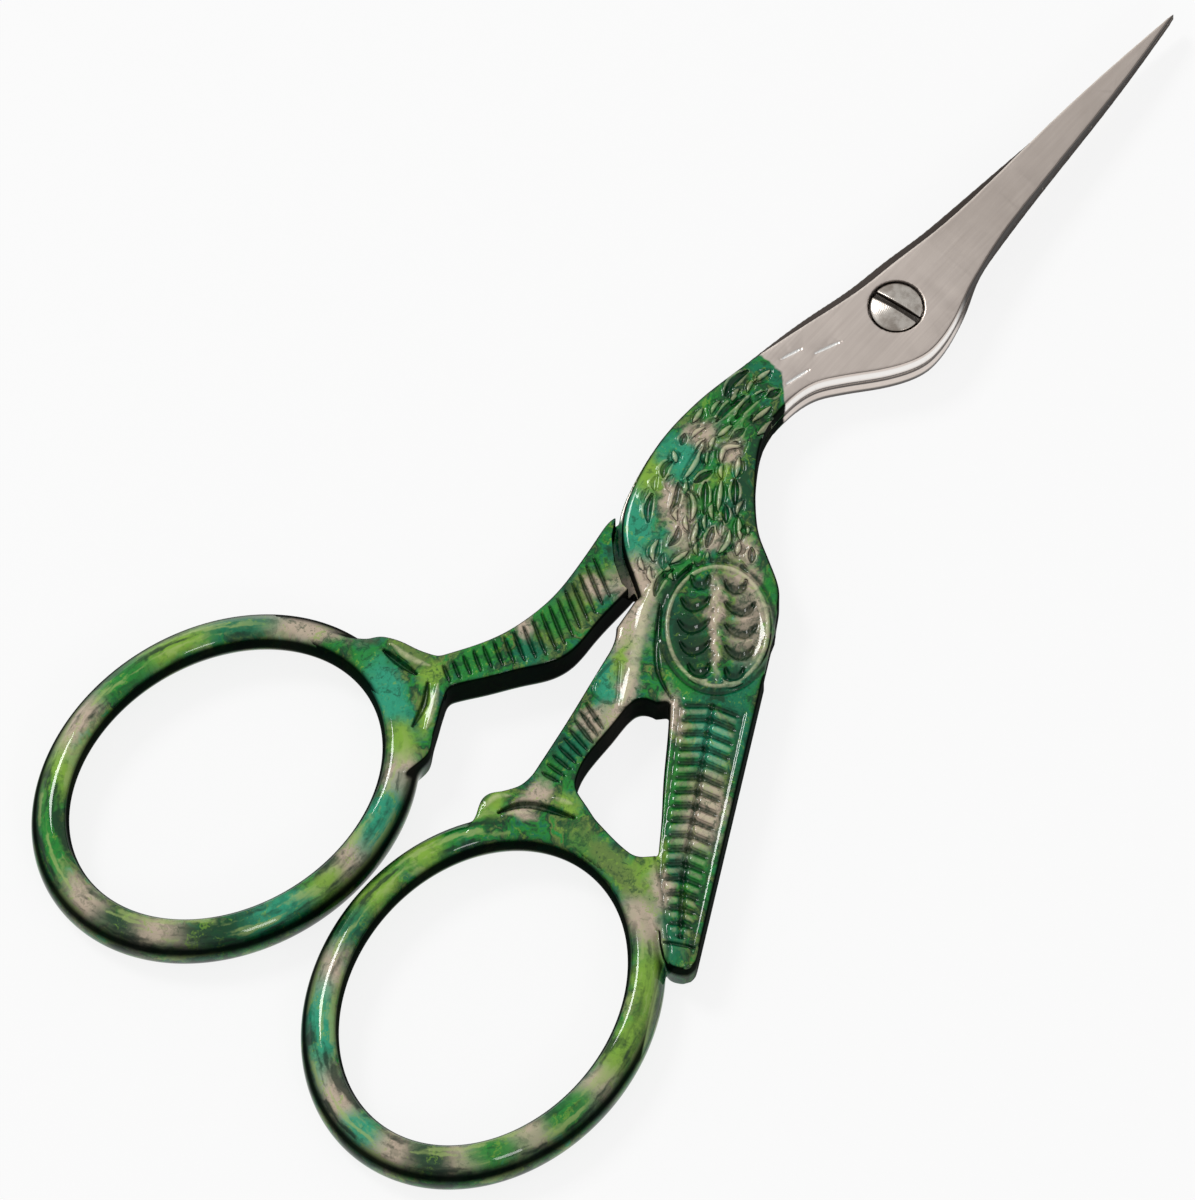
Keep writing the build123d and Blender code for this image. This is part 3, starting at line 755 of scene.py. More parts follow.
# %% Striking both halves
def strike_front_leg(die):
    die.ribs(*FRONT_LEG_RIBS, 9, 0.5, -0.24)
    die.strike(FRONT_RECESS, 0.75, -0.4, pointed=True)
    die.strike(FRONT_FACET, 0.5, 0.08, pointed=True)
    for knuckle in FRONT_KNUCKLES:
        die.strike(knuckle, 0.8, 0.08, pointed=True)
    die.strike(THIGH_CREASE, 0.55, -0.22, pointed=True)
    die.strike(THIGH_RIDGE, 1.3, 0.1, pointed=True)
    die.strike(THIGH_DROP, 0.3, -0.13)


def strike_back_leg(die):
    die.ribs(*BACK_LEG_RIBS, 18, 0.44, -0.24)
    die.strike(BACK_RECESS, 0.7, -0.4, pointed=True)
    die.strike(BACK_CREASE, 0.6, -0.3, pointed=True)
    for knuckle in BACK_KNUCKLES:
        die.strike(knuckle, 0.8, 0.1, pointed=True)


front_die, back_die, under_die = Die(front_sheet), Die(back_sheet), Die(back_sheet)
for die, rim in ((front_die, 0.12), (under_die, 0.0)):
    strike_feathers(die)
    strike_wing(die, rim)
strike_tail(front_die)
strike_front_leg(front_die)
strike_back_leg(back_die)
under_die.relief += back_die.relief
print("deepest and highest marks in mm:", front_die.relief.min().round(2), front_die.relief.max().round(2))

# %% [markdown]
# ## The front half
# The front half is the bird: its upper blade, head, neck, body, wing and tail, with the leg that stands
# on the lower bow. Behind the head it is full height, and under the head and neck it is one plate, so
# that the back half fits below. The forging's edges are round where it is enamelled and crisp where the
# steel is ground.

# %% Where the metal is ground, cut and rounded
HEAD_BASE = THICKNESS + HEAD_PROUD - HEAD_HEIGHT
TAPER_BLEND = 1.5
CRISP_EDGE, SOFT_EDGE, ENAMELLED_BODY_EDGE = 0.12, 0.14, 0.3
TAIL_FILLET, LEG_FILLET, FOOT_FILLET, WEB_FILLET, WIRE_FILLET = 0.25, 0.8, 0.5, 0.4, 0.35
BEYOND_BLADES = 12  # further to the side than the blades ever lie


def taper(x):
    """How much a blade's outer face is ground away."""
    slope, past = (PLATE - TIP_THICKNESS) / (BLADE_LENGTH - TAPER_START), x - TAPER_START
    return (past + np.hypot(past, TAPER_BLEND)) / 2 * slope


def room(x, y, clearance):
    """Below zero where one half lies under the other."""
    return np.minimum(np.hypot(x, y) - STEP_RADIUS + clearance, np.maximum(-x, np.abs(y) - BEYOND_BLADES))


def rounding(x, body):
    """Edge radii: small on the blades and head, larger on the enamel, and largest on the bird's body."""
    return CRISP_EDGE + ease(7.5, 11, -x) * (SOFT_EDGE + ENAMELLED_BODY_EDGE * ease(0.6, -0.6, body))


print("the blade's tip is ground by", round(float(taper(BLADE_LENGTH)), 2), "mm")


# %% The front half
def front_rule(z, x, y, flat, bow_gap, relief, edge):
    under = np.minimum(relief, 0)
    metal = plate(flat, -under, THICKNESS - taper(x) + relief, z, edge)
    metal = soft_min(metal, wire(bow_gap, z), WIRE_FILLET)
    metal = np.maximum(metal, -np.maximum(room(x, y, 0), z - FRONT_FLOOR))
    radius = np.hypot(x, y)
    metal = np.maximum(metal, SHANK_DIAMETER / 2 + RUNNING_CLEARANCE - radius)
    counterbore = np.maximum(radius - HEAD_DIAMETER / 2 - SEAT_CLEARANCE, HEAD_BASE - RUNNING_CLEARANCE - z)
    return np.maximum(metal, -counterbore)


# The metal that fills the gap between the front foot and the tail
WEB = [(-38.5, -11.3), (-37.9, -11.8), (-37.2, -12.5), (-39.6, -15.9), (-40.7, -15.6), (-39.7, -12.8)]
front_foot = soft_min(front_foot, front_sheet.inside(np.array(WEB)), WEB_FILLET)
front_flat = soft_min(soft_min(front_bird, front_tail, TAIL_FILLET), front_leg_flat, LEG_FILLET)
front_flat = soft_min(front_flat, front_foot, FOOT_FILLET)
front_half = skin(front_sheet, front_rule, {
    "extent": np.minimum(front_flat, np.abs(front_oval) - WIRE_REACH),
    "x": front_sheet.x, "y": front_sheet.y, "flat": front_flat, "bow_gap": front_oval,
    "relief": front_die.relief,
    "edge": rounding(front_sheet.x, np.minimum(front_bird, front_tail)),
}, "front_half_forged")
store(front_half, front_sheet, "relief", front_die.relief)
follow(front_half, front_sheet, front_bow, front_oval)

# %% [markdown]
# ## The back half
# The back half is the same bird, one plate thick, with its own leg and bow. Its leg is full height, and
# it stops with a shoulder just behind the front bird's nape. Its blade has a spine that stands out past
# the upper blade's back, where the photograph shows a dark line.

# %% The shoulder and the spine
ABOVE_NAPE, SPINE_PROUD, NECK_SLOPE = 7, 0.62, 0.35
behind_nape = on_body(NAPE[-5:], NECK_RISE) - (SHOULDER_GAP, 0)
back_shoulder = back_sheet.inside(np.concatenate([
    behind_nape, [(-STEP_RADIUS, -CHEST_DEPTH), (0, -CHEST_DEPTH)],
    [(0, ABOVE_NAPE), (behind_nape[0][0], ABOVE_NAPE)],
]))
above_middle = back_sheet.y + NECK_SLOPE * np.minimum(back_sheet.x, 0)
spine = ease(-13, -2, back_sheet.x) * ease(19, 6, back_sheet.x) * ease(0.0, 1.0, above_middle)
past_front = np.clip(back_sheet.inside(bird(0)) + 0.1, 0, 1) * (spine > 0.05)
back_bird = back_bird - SPINE_PROUD * spine
print("the shoulder stands at x in mm:", behind_nape[0].round(2))


# %% The back half
STEP_FILLET, THREAD_CLEARANCE = 0.1, 0.02


def back_rule(z, x, y, bird_flat, leg_flat, bow_gap, shoulder, relief, under, edge):
    low = -np.minimum(under, 0)
    one_plate = np.maximum(room(x, y, STEP_CLEARANCE), bird_flat)
    bird_metal = np.maximum(plate(one_plate, low + taper(x), 2 * THICKNESS, z, edge), z - PLATE)
    leg_metal = plate(leg_flat, low, THICKNESS + relief, z, edge)
    leg_metal = np.maximum(leg_metal, -np.maximum(shoulder, PLATE - z))
    metal = soft_min(soft_min(bird_metal, leg_metal, STEP_FILLET), wire(bow_gap, z), WIRE_FILLET)
    return np.maximum(metal, THREAD_DIAMETER / 2 + THREAD_CLEARANCE - np.hypot(x, y))


back_leg_all = soft_min(back_leg_flat, back_foot, FOOT_FILLET)
back_half = skin(back_sheet, back_rule, {
    "extent": np.minimum(np.minimum(back_bird, back_leg_all), np.abs(back_oval) - WIRE_REACH),
    "x": back_sheet.x, "y": back_sheet.y, "bird_flat": back_bird, "leg_flat": back_leg_all,
    "bow_gap": back_oval, "shoulder": back_shoulder, "relief": back_die.relief, "under": under_die.relief,
    "edge": rounding(back_sheet.x, np.maximum(back_bird, -25 - back_sheet.x)),
}, "back_half_forged")
store(back_half, back_sheet, "relief", under_die.relief)
# The finish paints a shadow where the back blade stands past the upper blade.
store(back_half, back_sheet, "spine", past_front)
follow(back_half, back_sheet, back_bow, back_oval)

# %% [markdown]
# ## The screw
# The bird's eye is the pivot: a slotted screw with a low domed head. It is turned on a lathe, so circles
# and a slot describe all of it. Its grid is finer than that of the halves, because the head is only 3.2
# mm across.

# %% The pivot screw
SCREW_PITCH = 0.045
THREAD_PITCH, THREAD_DEPTH = 0.35, 0.1
HEAD_EDGE, SHANK_EDGE, THREAD_EDGE, SLOT_EDGE, OVERLAP = 0.07, 0.05, 0.06, 0.1, 0.2


def screw_rule(z, x, y):
    radius = np.hypot(x, y)
    dome = THICKNESS + HEAD_PROUD - DOME_HEIGHT * (radius / (HEAD_DIAMETER / 2)) ** 2
    head = plate(radius - HEAD_DIAMETER / 2, HEAD_BASE, dome, z, HEAD_EDGE)
    turn = math.radians(SLOT_TURN)
    across = np.abs(y * math.cos(turn) - x * math.sin(turn))
    slot = -soft_min(SLOT_WIDTH / 2 - across, z - (THICKNESS + HEAD_PROUD - SLOT_DEPTH), SLOT_EDGE)
    head = -soft_min(-head, slot, HEAD_EDGE)
    shank = plate(radius - SHANK_DIAMETER / 2, PLATE, HEAD_BASE + OVERLAP, z, SHANK_EDGE)
    winding = 0.5 + 0.5 * np.cos(2 * math.pi * z / THREAD_PITCH - np.arctan2(y, x))
    wound = radius - THREAD_DIAMETER / 2 + THREAD_DEPTH * winding
    thread = plate(wound, 0.0, PLATE + OVERLAP, z, THREAD_EDGE)
    return np.minimum(np.minimum(head, shank), thread)


screw_sheet = Sheet((-1.75, -1.75), (1.8, 1.8), SCREW_PITCH)
screw = skin(screw_sheet, screw_rule, {
    "extent": np.hypot(screw_sheet.x, screw_sheet.y) - HEAD_DIAMETER / 2,
    "x": screw_sheet.x, "y": screw_sheet.y,
}, "pivot_screw_turned", THICKNESS + HEAD_PROUD)

# %% [markdown]
# ## Riding on the CAD bodies
# Each skin rides on the moving body of its solid and takes that solid's place in the picture. The screw
# is fixed in the back half's thread, so it turns with it.

# %% Riding on the CAD bodies
for piece, node, body, slot in (
    (front_half, "front_half", "front", "enamelled_steel"),
    (back_half, "back_half", "back", "enamelled_steel"),
    (screw, "pivot_screw", "back", "screw_steel"),
):
    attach(piece, body)
    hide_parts(node)
    print(piece.name, "rides on", body)

# %% [markdown]
# ## Finishes as sums
# A material is a small calculation that runs at each point of a surface. Nodes could be joined up one by
# one, but sums are easier to read, so this class wraps a node's output and lets it be added, multiplied
# and compared.

# %% Nodes from sums
class Value:
    """A node's output. A sum or product of values adds its Math node."""

    def __init__(self, finish, socket):
        self.finish, self.socket = finish, socket

    def math(self, operation, *inputs, clamp=False):
        return self.finish.node(
            "ShaderNodeMath", {"operation": operation, "use_clamp": clamp}, dict(enumerate(inputs))
        )

    def __add__(self, other):
        return self.math("ADD", self, other)

    def __sub__(self, other):
        return self.math("SUBTRACT", self, other)

    def __rsub__(self, other):
        return self.math("SUBTRACT", other, self)

    def __mul__(self, other):
        return self.math("MULTIPLY", self, other)

    __radd__, __rmul__ = __add__, __mul__

    def size(self):
        return self.math("ABSOLUTE", self)

    def either(self, other):
        return self.math("MAXIMUM", self, other)

    def fade(self, low, high):
        """0 below low and 1 above high, smoothly; low may be the larger."""
        flip = low > high
        sockets = {0: self, 1: min(low, high), 2: max(low, high), 3: 0.0, 4: 1.0}
        out = self.finish.node("ShaderNodeMapRange", {"interpolation_type": "SMOOTHSTEP"}, sockets)
        return 1 - out if flip else out


class Vectors(Value):
    """A node's vector or colour output: places and shifts."""

    def vector(self, operation, *inputs, output=0):
        sockets = dict(enumerate(inputs))
        return self.finish.node("ShaderNodeVectorMath", {"operation": operation}, sockets, output)

    def times(self, factors):
        return self.vector("MULTIPLY", self, factors if isinstance(factors, tuple) else (factors,) * 3)

    def plus(self, other):
        return self.vector("ADD", self, other)

    def length(self):
        return self.vector("LENGTH", self, output="Value")

    def part(self, axis):
        return self.finish.node("ShaderNodeSeparateXYZ", None, {0: self}, output=axis)


print("what a node's output can do:", sum(callable(way) for way in vars(Value).values()), "things")


# %% A finish
class Finish:
    """A material, built from sums of values."""

    def __init__(self, name):
        self.material = bpy.data.materials.new(name)
        self.material.use_nodes = True
        self.tree = self.material.node_tree
        self.tree.nodes.clear()
        self.place = self.node("ShaderNodeTexCoord", output="Object").times(1 / MM)

    def node(self, kind, settings=None, sockets=None, output=0):
        """Add a node: its settings first, then the values or links of its sockets."""
        node = self.tree.nodes.new(kind)
        for key, value in (settings or {}).items():
            if key == "stops":
                ramp = node.color_ramp
                while len(ramp.elements) < len(value):
                    ramp.elements.new(0.5)
                for element, (position, colour) in zip(ramp.elements, value):
                    element.position, element.color = position, colour
            else:
                setattr(node, key, value)
        for key, value in (sockets or {}).items():
            if isinstance(value, Value):
                self.tree.links.new(value.socket, node.inputs[key])
            else:
                node.inputs[key].default_value = value
        if output is None:
            return None
        socket = node.outputs[output]
        return (Vectors if socket.type in ("VECTOR", "RGBA") else Value)(self, socket)

    def mix(self, factor, a, b):
        """Colour a turned into colour b by a factor."""
        settings = {"data_type": "RGBA", "clamp_factor": True}
        return self.node("ShaderNodeMix", settings, {0: factor, 6: a, 7: b}, output=2)

    def noise(self, place, scale, detail=3.0, roughness=0.5, output=0):
        """Cloudy noise; scale is in cycles for each millimetre."""
        sockets = {"Vector": place, "Scale": scale, "Detail": detail, "Roughness": roughness}
        return self.node("ShaderNodeTexNoise", None, sockets, output)

    def shifts(self, place, scale):
        """Noise as a shift to any side, up to half a unit, for pushing places about."""
        return self.noise(place, scale, output=1).plus((-0.5, -0.5, -0.5))

    def stored(self, name, output="Fac"):
        """A value that is stored on the skin."""
        return self.node("ShaderNodeAttribute", {"attribute_name": name}, output=output)

    def bump(self, height, depth):
        return self.node("ShaderNodeBump", None, {"Height": height, "Distance": depth * MM, "Strength": 1.0})

    def end(self, shader):
        """End the sums with the shader that the surface shows."""
        self.node("ShaderNodeOutputMaterial", None, {"Surface": shader}, output=None)


print("what a finish can do:", sum(callable(way) for way in vars(Finish).values()), "things")


# %% Colours as a screen shows them
def ink(red, green, blue):
    """A colour as a screen writes it, from 0 to 255, turned into light."""
    shares = [c / 255 for c in (red, green, blue)]
    return tuple(((c + 0.055) / 1.055) ** 2.4 if c > 0.04 else c / 12.92 for c in shares) + (1.0,)


print("a grey of 128 as light:", round(ink(128, 128, 128)[0], 3))

# %% [markdown]
# ## The colours of the enamel
# The handles are coated with a glossy enamel in which greens, teals and a pinkish beige run into each
# other. Cloudy noise gives such a marbling everywhere, but it never lands right, so a list of patches
# puts the main colours where the real scissors have them.

# %% The colours of the enamel
INKS = {
    "deep": ink(10, 66, 38), "green": ink(34, 138, 48), "lime": ink(136, 180, 62), "teal": ink(46, 162, 126),
    "beige": ink(204, 184, 164), "sea": ink(12, 116, 80), "black": ink(4, 9, 7), "olive": ink(108, 134, 66),
}
BODY_PATCHES = [
    # x, y, half length, half width, turn in degrees, colour
    (-18.6, 4.0, 1.7, 1.0, 25, "lime"), (-21.4, 2.4, 2.5, 1.5, 50, "teal"),
    (-16.2, 3.6, 1.6, 1.2, 10, "teal"), (-12.3, 4.2, 1.5, 0.8, 0, "green"),
    (-10.3, 3.9, 1.2, 0.6, 0, "deep"), (-8.6, 3.1, 0.7, 0.8, 0, "sea"), (-12.4, 2.3, 1.5, 0.7, 0, "green"),
    (-14.2, 3.3, 0.9, 1.0, 60, "beige"), (-14.0, 1.4, 1.2, 0.7, 15, "beige"),
    (-18.6, 2.3, 1.1, 0.6, 35, "beige"), (-19.4, 0.5, 2.0, 0.8, 25, "beige"),
    (-16.6, 0.4, 1.8, 0.9, 40, "green"), (-15.6, 0.9, 0.9, 0.35, 10, "lime"),
    (-15.2, -0.8, 2.4, 0.6, 40, "deep"), (-12.5, 0.2, 2.2, 0.4, 5, "deep"),
    (-18.9, -1.7, 0.9, 0.7, 0, "beige"), (-18.3, -3.6, 0.9, 0.8, 40, "beige"),
    (-17.3, -2.2, 0.7, 0.6, 40, "green"), (-22.4, -1.5, 2.1, 0.8, 3, "green"),
    (-23.2, -1.9, 1.3, 0.5, 3, "deep"), (-24.2, 0.2, 1.6, 1.3, 45, "beige"),
    (-26.5, -1.5, 3.0, 1.1, 30, "beige"), (-30.5, -4.3, 3.0, 0.7, 28, "beige"),
    (-30.6, -3.2, 1.5, 0.8, 25, "teal"), (-28.8, -2.9, 1.6, 0.5, 25, "lime"),
    (-25.0, -4.8, 2.2, 1.3, 40, "deep"), (-27.2, -6.6, 1.4, 0.8, 70, "green"),
    (-23.0, -5.3, 3.2, 0.4, 41, "beige"), (-21.8, -6.9, 2.9, 1.1, 41, "beige"),
    (-25.0, -9.2, 1.4, 0.8, 30, "sea"), (-20.0, -4.6, 0.9, 0.9, 0, "beige"),
    (-19.4, -6.4, 1.2, 0.6, 45, "green"), (-28.3, -8.9, 1.6, 0.9, 60, "sea"),
    (-29.5, -10.3, 2.0, 1.0, 40, "teal"), (-29.4, -7.4, 1.8, 0.6, 42, "beige"),
    (-33.0, -10.6, 2.6, 0.7, 32, "green"), (-27.8, -11.4, 3.0, 0.7, 40, "sea"),
    (-33.5, -13.2, 2.6, 1.2, 30, "beige"), (-37.2, -12.6, 1.5, 0.7, 25, "lime"),
    (-36.5, -15.2, 1.8, 0.6, 30, "green"), (-38.7, -14.3, 1.4, 0.7, 40, "beige"),
    (-41.5, -16.9, 2.6, 1.2, 35, "sea"), (-33.0, -3.9, 1.0, 1.2, 80, "beige"),
    (-35.0, -4.3, 1.1, 0.9, 10, "sea"), (-38.6, -4.2, 1.5, 0.8, 10, "beige"),
    (-36.9, -4.1, 1.0, 0.8, 0, "green"), (-41.0, -2.9, 1.4, 0.6, 0, "lime"),
    # The beige patch at -40.3, -4.7 on the front foot's facet is marbling and a painted highlight too.
    (-38.0, -6.4, 0.9, 0.6, 60, "lime"), (-40.3, -4.7, 1.0, 0.4, 125, "beige"),
    (-39.2, -9.5, 1.9, 0.7, 95, "green"), (-39.0, -12.6, 1.5, 0.7, 60, "lime"),
    # The back leg and its foot
    (-27.5, 1.9, 3.0, 1.0, 0, "olive"), (-29.2, 2.2, 1.0, 1.3, 70, "green"),
    (-32.0, 2.0, 1.6, 0.8, 60, "sea"), (-31.0, 3.1, 0.8, 0.6, 60, "beige"),
    (-34.6, 4.3, 1.8, 1.0, 35, "green"), (-26.0, 1.4, 0.7, 0.9, 80, "beige"),
    (-39.9, 6.6, 1.1, 2.4, -12, "teal"), (-38.8, 8.9, 1.2, 1.0, 20, "green"),
    (-37.0, 5.3, 0.9, 0.8, 60, "lime"), (-36.8, 7.6, 0.6, 1.4, 0, "olive"),
    (-39.0, 3.9, 1.5, 0.5, 25, "lime"), (-42.0, 3.9, 1.2, 0.7, 35, "green"),
]
print("patches on the bird, legs and feet:", len(BODY_PATCHES))

# %% The colours round the bows
BOW_PATCHES = [
    # bow, angle round it, half length in degrees, colour
    (back_bow, 112, 9, "beige"), (back_bow, 32, 14, "beige"), (back_bow, -80, 7, "beige"),
    (back_bow, -45, 6, "beige"), (back_bow, -176, 9, "beige"), (back_bow, -146, 10, "beige"),
    (back_bow, 133, 9, "lime"), (back_bow, 74, 10, "lime"), (back_bow, -33, 5, "lime"),
    (back_bow, -90, 5, "lime"), (back_bow, -61, 9, "teal"), (back_bow, -107, 9, "teal"),
    (back_bow, 152, 14, "green"), (back_bow, 92, 8, "green"), (back_bow, 52, 9, "sea"),
    (back_bow, -128, 9, "deep"), (back_bow, -12, 9, "teal"), (back_bow, -161, 6, "deep"),
    (front_bow, 108, 8, "beige"), (front_bow, 154, 10, "beige"), (front_bow, -174, 8, "beige"),
    (front_bow, -150, 7, "beige"), (front_bow, -125, 7, "beige"), (front_bow, -99, 7, "beige"),
    (front_bow, -39, 8, "beige"), (front_bow, 80, 8, "lime"), (front_bow, -83, 8, "lime"),
    (front_bow, -60, 8, "lime"), (front_bow, 128, 12, "teal"), (front_bow, 170, 6, "teal"),
    (front_bow, -137, 8, "green"), (front_bow, -110, 7, "green"), (front_bow, 94, 6, "sea"),
    (front_bow, -161, 6, "deep"), (front_bow, 55, 12, "green"), (front_bow, -14, 12, "olive"),
    (front_bow, 60, 5, "lime"),
]


def bow_patch(bow, angle, half, colour):
    """A patch on a bow's wire as a patch on the sheet, drawn out along the wire."""
    centre, ahead = bow.at(angle, -WIRE_REACH), bow.at(angle + 1, -WIRE_REACH)
    run = ahead - centre
    turn = math.degrees(math.atan2(run[1], run[0]))
    return (*centre, 1.5 * half * float(np.hypot(*run)), 0.9, turn, colour)


patches = BODY_PATCHES + [bow_patch(*patch) for patch in BOW_PATCHES]
print("patches of colour:", len(patches))

# %% [markdown]
# ## Where the steel is bare
# The blades, the head and the throat aren't enamelled, and neither are the faces that slide on each
# other. The enamel was put on by hand, so its edge is ragged, and the steel reaches further back along the
# neck's lower side. A second mesh could carry the enamel, but a mask, 1 on steel and 0 on enamel, is enough.

# %% Where the steel is bare
ENAMEL_EDGE, EDGE_HEIGHT, EDGE_LEAN = -7.55, 2.4, 3.2
SLIDING_FACES_END = -21.5


def bare_places(finish, x, y, z, up):
    """1 on bare steel and 0 on enamel."""
    below = (EDGE_HEIGHT - y).either(0.0)
    ragged = finish.noise(finish.place, 1.1, 2.0) * 0.9
    steel = (x + below.math("MINIMUM", below, EDGE_LEAN) + ragged).fade(ENAMEL_EDGE, ENAMEL_EDGE + 0.2)
    level = (z - THICKNESS / 2).size().fade(0.12, 0.09) * up.size().fade(0.85, 0.95)
    return steel.either(level * x.fade(SLIDING_FACES_END, SLIDING_FACES_END + 0.5))


print("the enamel starts near x =", ENAMEL_EDGE, "mm")

# %% [markdown]
# ## The marbling
# Wet enamels of several colours were stirred into each other. A painted picture could show that, but it
# would have to be wrapped round every form. Here noise is pushed about by more noise, and so are the edges
# of the patches, and light and dark veins run through them.

# %% The marbling
CLOUDS = [
    (0.33, "deep"), (0.42, "sea"), (0.48, "green"), (0.54, "deep"),
    (0.60, "olive"), (0.65, "green"), (0.72, "teal"),
]


def marbling(finish, patches, streaky):
    """The enamel's colour, and the stirred places and fine grain that go with it."""
    place = finish.place
    swirl, curl = finish.shifts(place, 0.42), finish.shifts(place, 1.7)
    stirred = place.plus(swirl.times(1.4 if streaky else 2.0)).plus(curl.times(0.5 if streaky else 1.2))
    clouds = finish.noise(place.plus(swirl.times(3.0)), 0.5, 4.0, 0.6)
    stops = [(at, INKS[key]) for at, key in CLOUDS]
    colour = finish.node("ShaderNodeValToRGB", {"stops": stops}, {0: clouds})
    for x, y, half_length, half_width, turn, key in patches:
        local = finish.node("ShaderNodeMapping", {"vector_type": "TEXTURE"}, {
            "Vector": stirred, "Location": (x, y, 0), "Rotation": (0, 0, math.radians(turn)),
            "Scale": (half_length, half_width, 1e4),
        })
        colour = finish.mix(local.length().fade(1.5, 0.35) * 0.92, colour, INKS[key])
    grain = finish.noise(stirred, 2.2, 4.0, 0.65)
    veins = finish.noise(stirred.plus(curl.times(2.0)), 1.1, 3.0, 0.6)
    colour = finish.mix(veins.fade(0.58, 0.68) * 0.5, colour, INKS["lime"])
    colour = finish.mix(veins.fade(0.46, 0.36) * (0.3 if streaky else 0.6), colour, INKS["deep"])
    colour = finish.mix(grain.fade(0.48, 0.36) * (0.2 if streaky else 0.35), colour, INKS["deep"])
    return colour, stirred, curl, grain


print("colours in the clouds:", len(CLOUDS))


# %% [markdown]
# ## Grooves, bow streaks and painted shade
# Round the bows the enamel shows streaks along the wire: partly marbling, partly painted reflections, light
# and dark. Elsewhere it is thin and light on the crests and lies thick and dark in the grooves. The steep
# sides are painted almost black as shade, except in a low band where painted floor light lifts them. The
# stored values and the face's direction say where each of these is.

# %% Streaks round the bows, crests, grooves and sides
def streaks(finish, colour, curl, strength):
    """Light and dark streaks along the bows' wire: partly marbling, partly painted reflections."""
    lines = finish.noise(finish.stored("run", "Vector").plus(curl.times(0.5)), 1.0, 2.0, 0.5)
    colour = finish.mix(lines.fade(0.54, 0.66) * strength * 0.6, colour, ink(166, 190, 112))
    return finish.mix(lines.fade(0.5, 0.34) * strength * 0.85, colour, ink(2, 40, 24))


def pooled_and_painted_shade(finish, colour, relief, grain, up, floor_lit_band, steep):
    """Enamel that is light on crests and dark in grooves, with painted near-black shade on steep sides."""
    colour = finish.mix(relief.fade(0.02, 0.1) * (grain * 1.3 - 0.2), colour, ink(216, 214, 172))
    colour = finish.mix(relief.fade(-0.03, -0.16) * (1.3 - grain), colour, ink(4, 44, 22))
    struck = relief.size().fade(0.01, 0.05) * up.size().fade(0.15, 0.35)
    # Painted shade: steep sides turn near-black, less so in the low band of painted floor light and on struck
    # marks.
    dark = up.fade(*steep) * up.fade(-0.45, -0.12) * (1 - floor_lit_band * 0.85) * (1 - struck * 0.75)
    return finish.mix(dark * 0.98, colour, INKS["black"]), dark


print("the darkest enamel:", [round(c, 4) for c in INKS["black"][:3]])

# %% [markdown]
# ## The bare steel
# The steel is ground lengthwise and not polished. Its fine lines are a stretched noise. Its edges are
# broken with a small bevel, which is painted light where it faces the lamp and dark elsewhere. Painted
# shade darkens the seam between the halves, the foot of the walls and the blades' walls, and a painted
# highlight runs along the upper walls. The back blade's spine is painted dark where it stands past the
# upper blade, partly as its shadow, and the struck dashes on the neck are painted near-white as highlights.

# %% The bare steel
def ground_steel(finish, x, z, up, north, relief):
    """The steel's colour with its painted highlights and shade, the mask of its painted shade, and its fine
    lines.
    """
    place = finish.place
    lines = finish.noise(place.times((0.12, 5.0, 5.0)), 1.0, 4.0, 0.7)
    stains = finish.noise(place, 0.35, 3.0, 0.5)
    bare = finish.mix(lines, ink(206, 193, 184), ink(232, 221, 212))
    bare = finish.mix(stains.fade(0.4, 0.7) * 0.25, bare, ink(188, 176, 168))
    # The struck dashes on the bare neck are painted near-white: a painted highlight.
    bare = finish.mix(relief.fade(-0.01, -0.04) * x.fade(-10.5, -9.8), bare, ink(255, 255, 252))
    # The back blade's spine past the upper blade is painted dark: partly a painted shadow, partly a darker
    # ground face.
    spine = finish.stored("spine").fade(0.0, 0.12)
    wall, blade = up.size().fade(0.6, 0.3), x.fade(1.5, 3.5)
    # Painted shade along the seam between the halves and at the foot of the walls.
    seam_and_bottom_shade = (z - THICKNESS / 2).size().fade(0.34, 0.2).either(z.fade(0.65, 0.35))
    bare = finish.mix(x.fade(2.0, 9.0) * 0.35, bare, ink(190, 178, 168))
    # A painted highlight along the upper part of the walls.
    bare = finish.mix(wall * z.fade(1.7, 2.1) * z.fade(2.8, 2.5) * 0.8, bare, ink(255, 253, 250))
    # Painted shade on the blades' walls, and along the seam and the foot of the walls.
    bare = finish.mix(wall * blade.either(seam_and_bottom_shade) * 0.92, bare, ink(30, 25, 23))
    # The bevel is painted light where it faces the lamp and dark as shade elsewhere.
    bevel_light_and_shade = finish.mix(north.fade(0.05, 0.3), ink(70, 60, 56), ink(250, 240, 228))
    bare = finish.mix(up.fade(0.97, 0.8) * up.fade(0.3, 0.6) * 0.75, bare, bevel_light_and_shade)
    # The spine gets its painted shadow; the shade mask covers the blades' walls and the spine.
    return finish.mix(spine * 0.9, bare, ink(40, 33, 30)), (wall * blade).either(spine), lines


print("lines on the steel are", round(5.0 / 0.12), "times as long as wide")

# %% [markdown]
# ## One finish for the halves
# Enamel and steel could be two materials, but their border would then follow the mesh's triangles. One
# material that mixes them by the mask has a border that is as ragged as the noise says, and no rougher.

# %% One finish for the halves
BOW_STREAKS_START, BOW_STREAKS_FULL = -40.2, -42.5
print("streaks fade in over", round(BOW_STREAKS_START - BOW_STREAKS_FULL, 1), "mm")


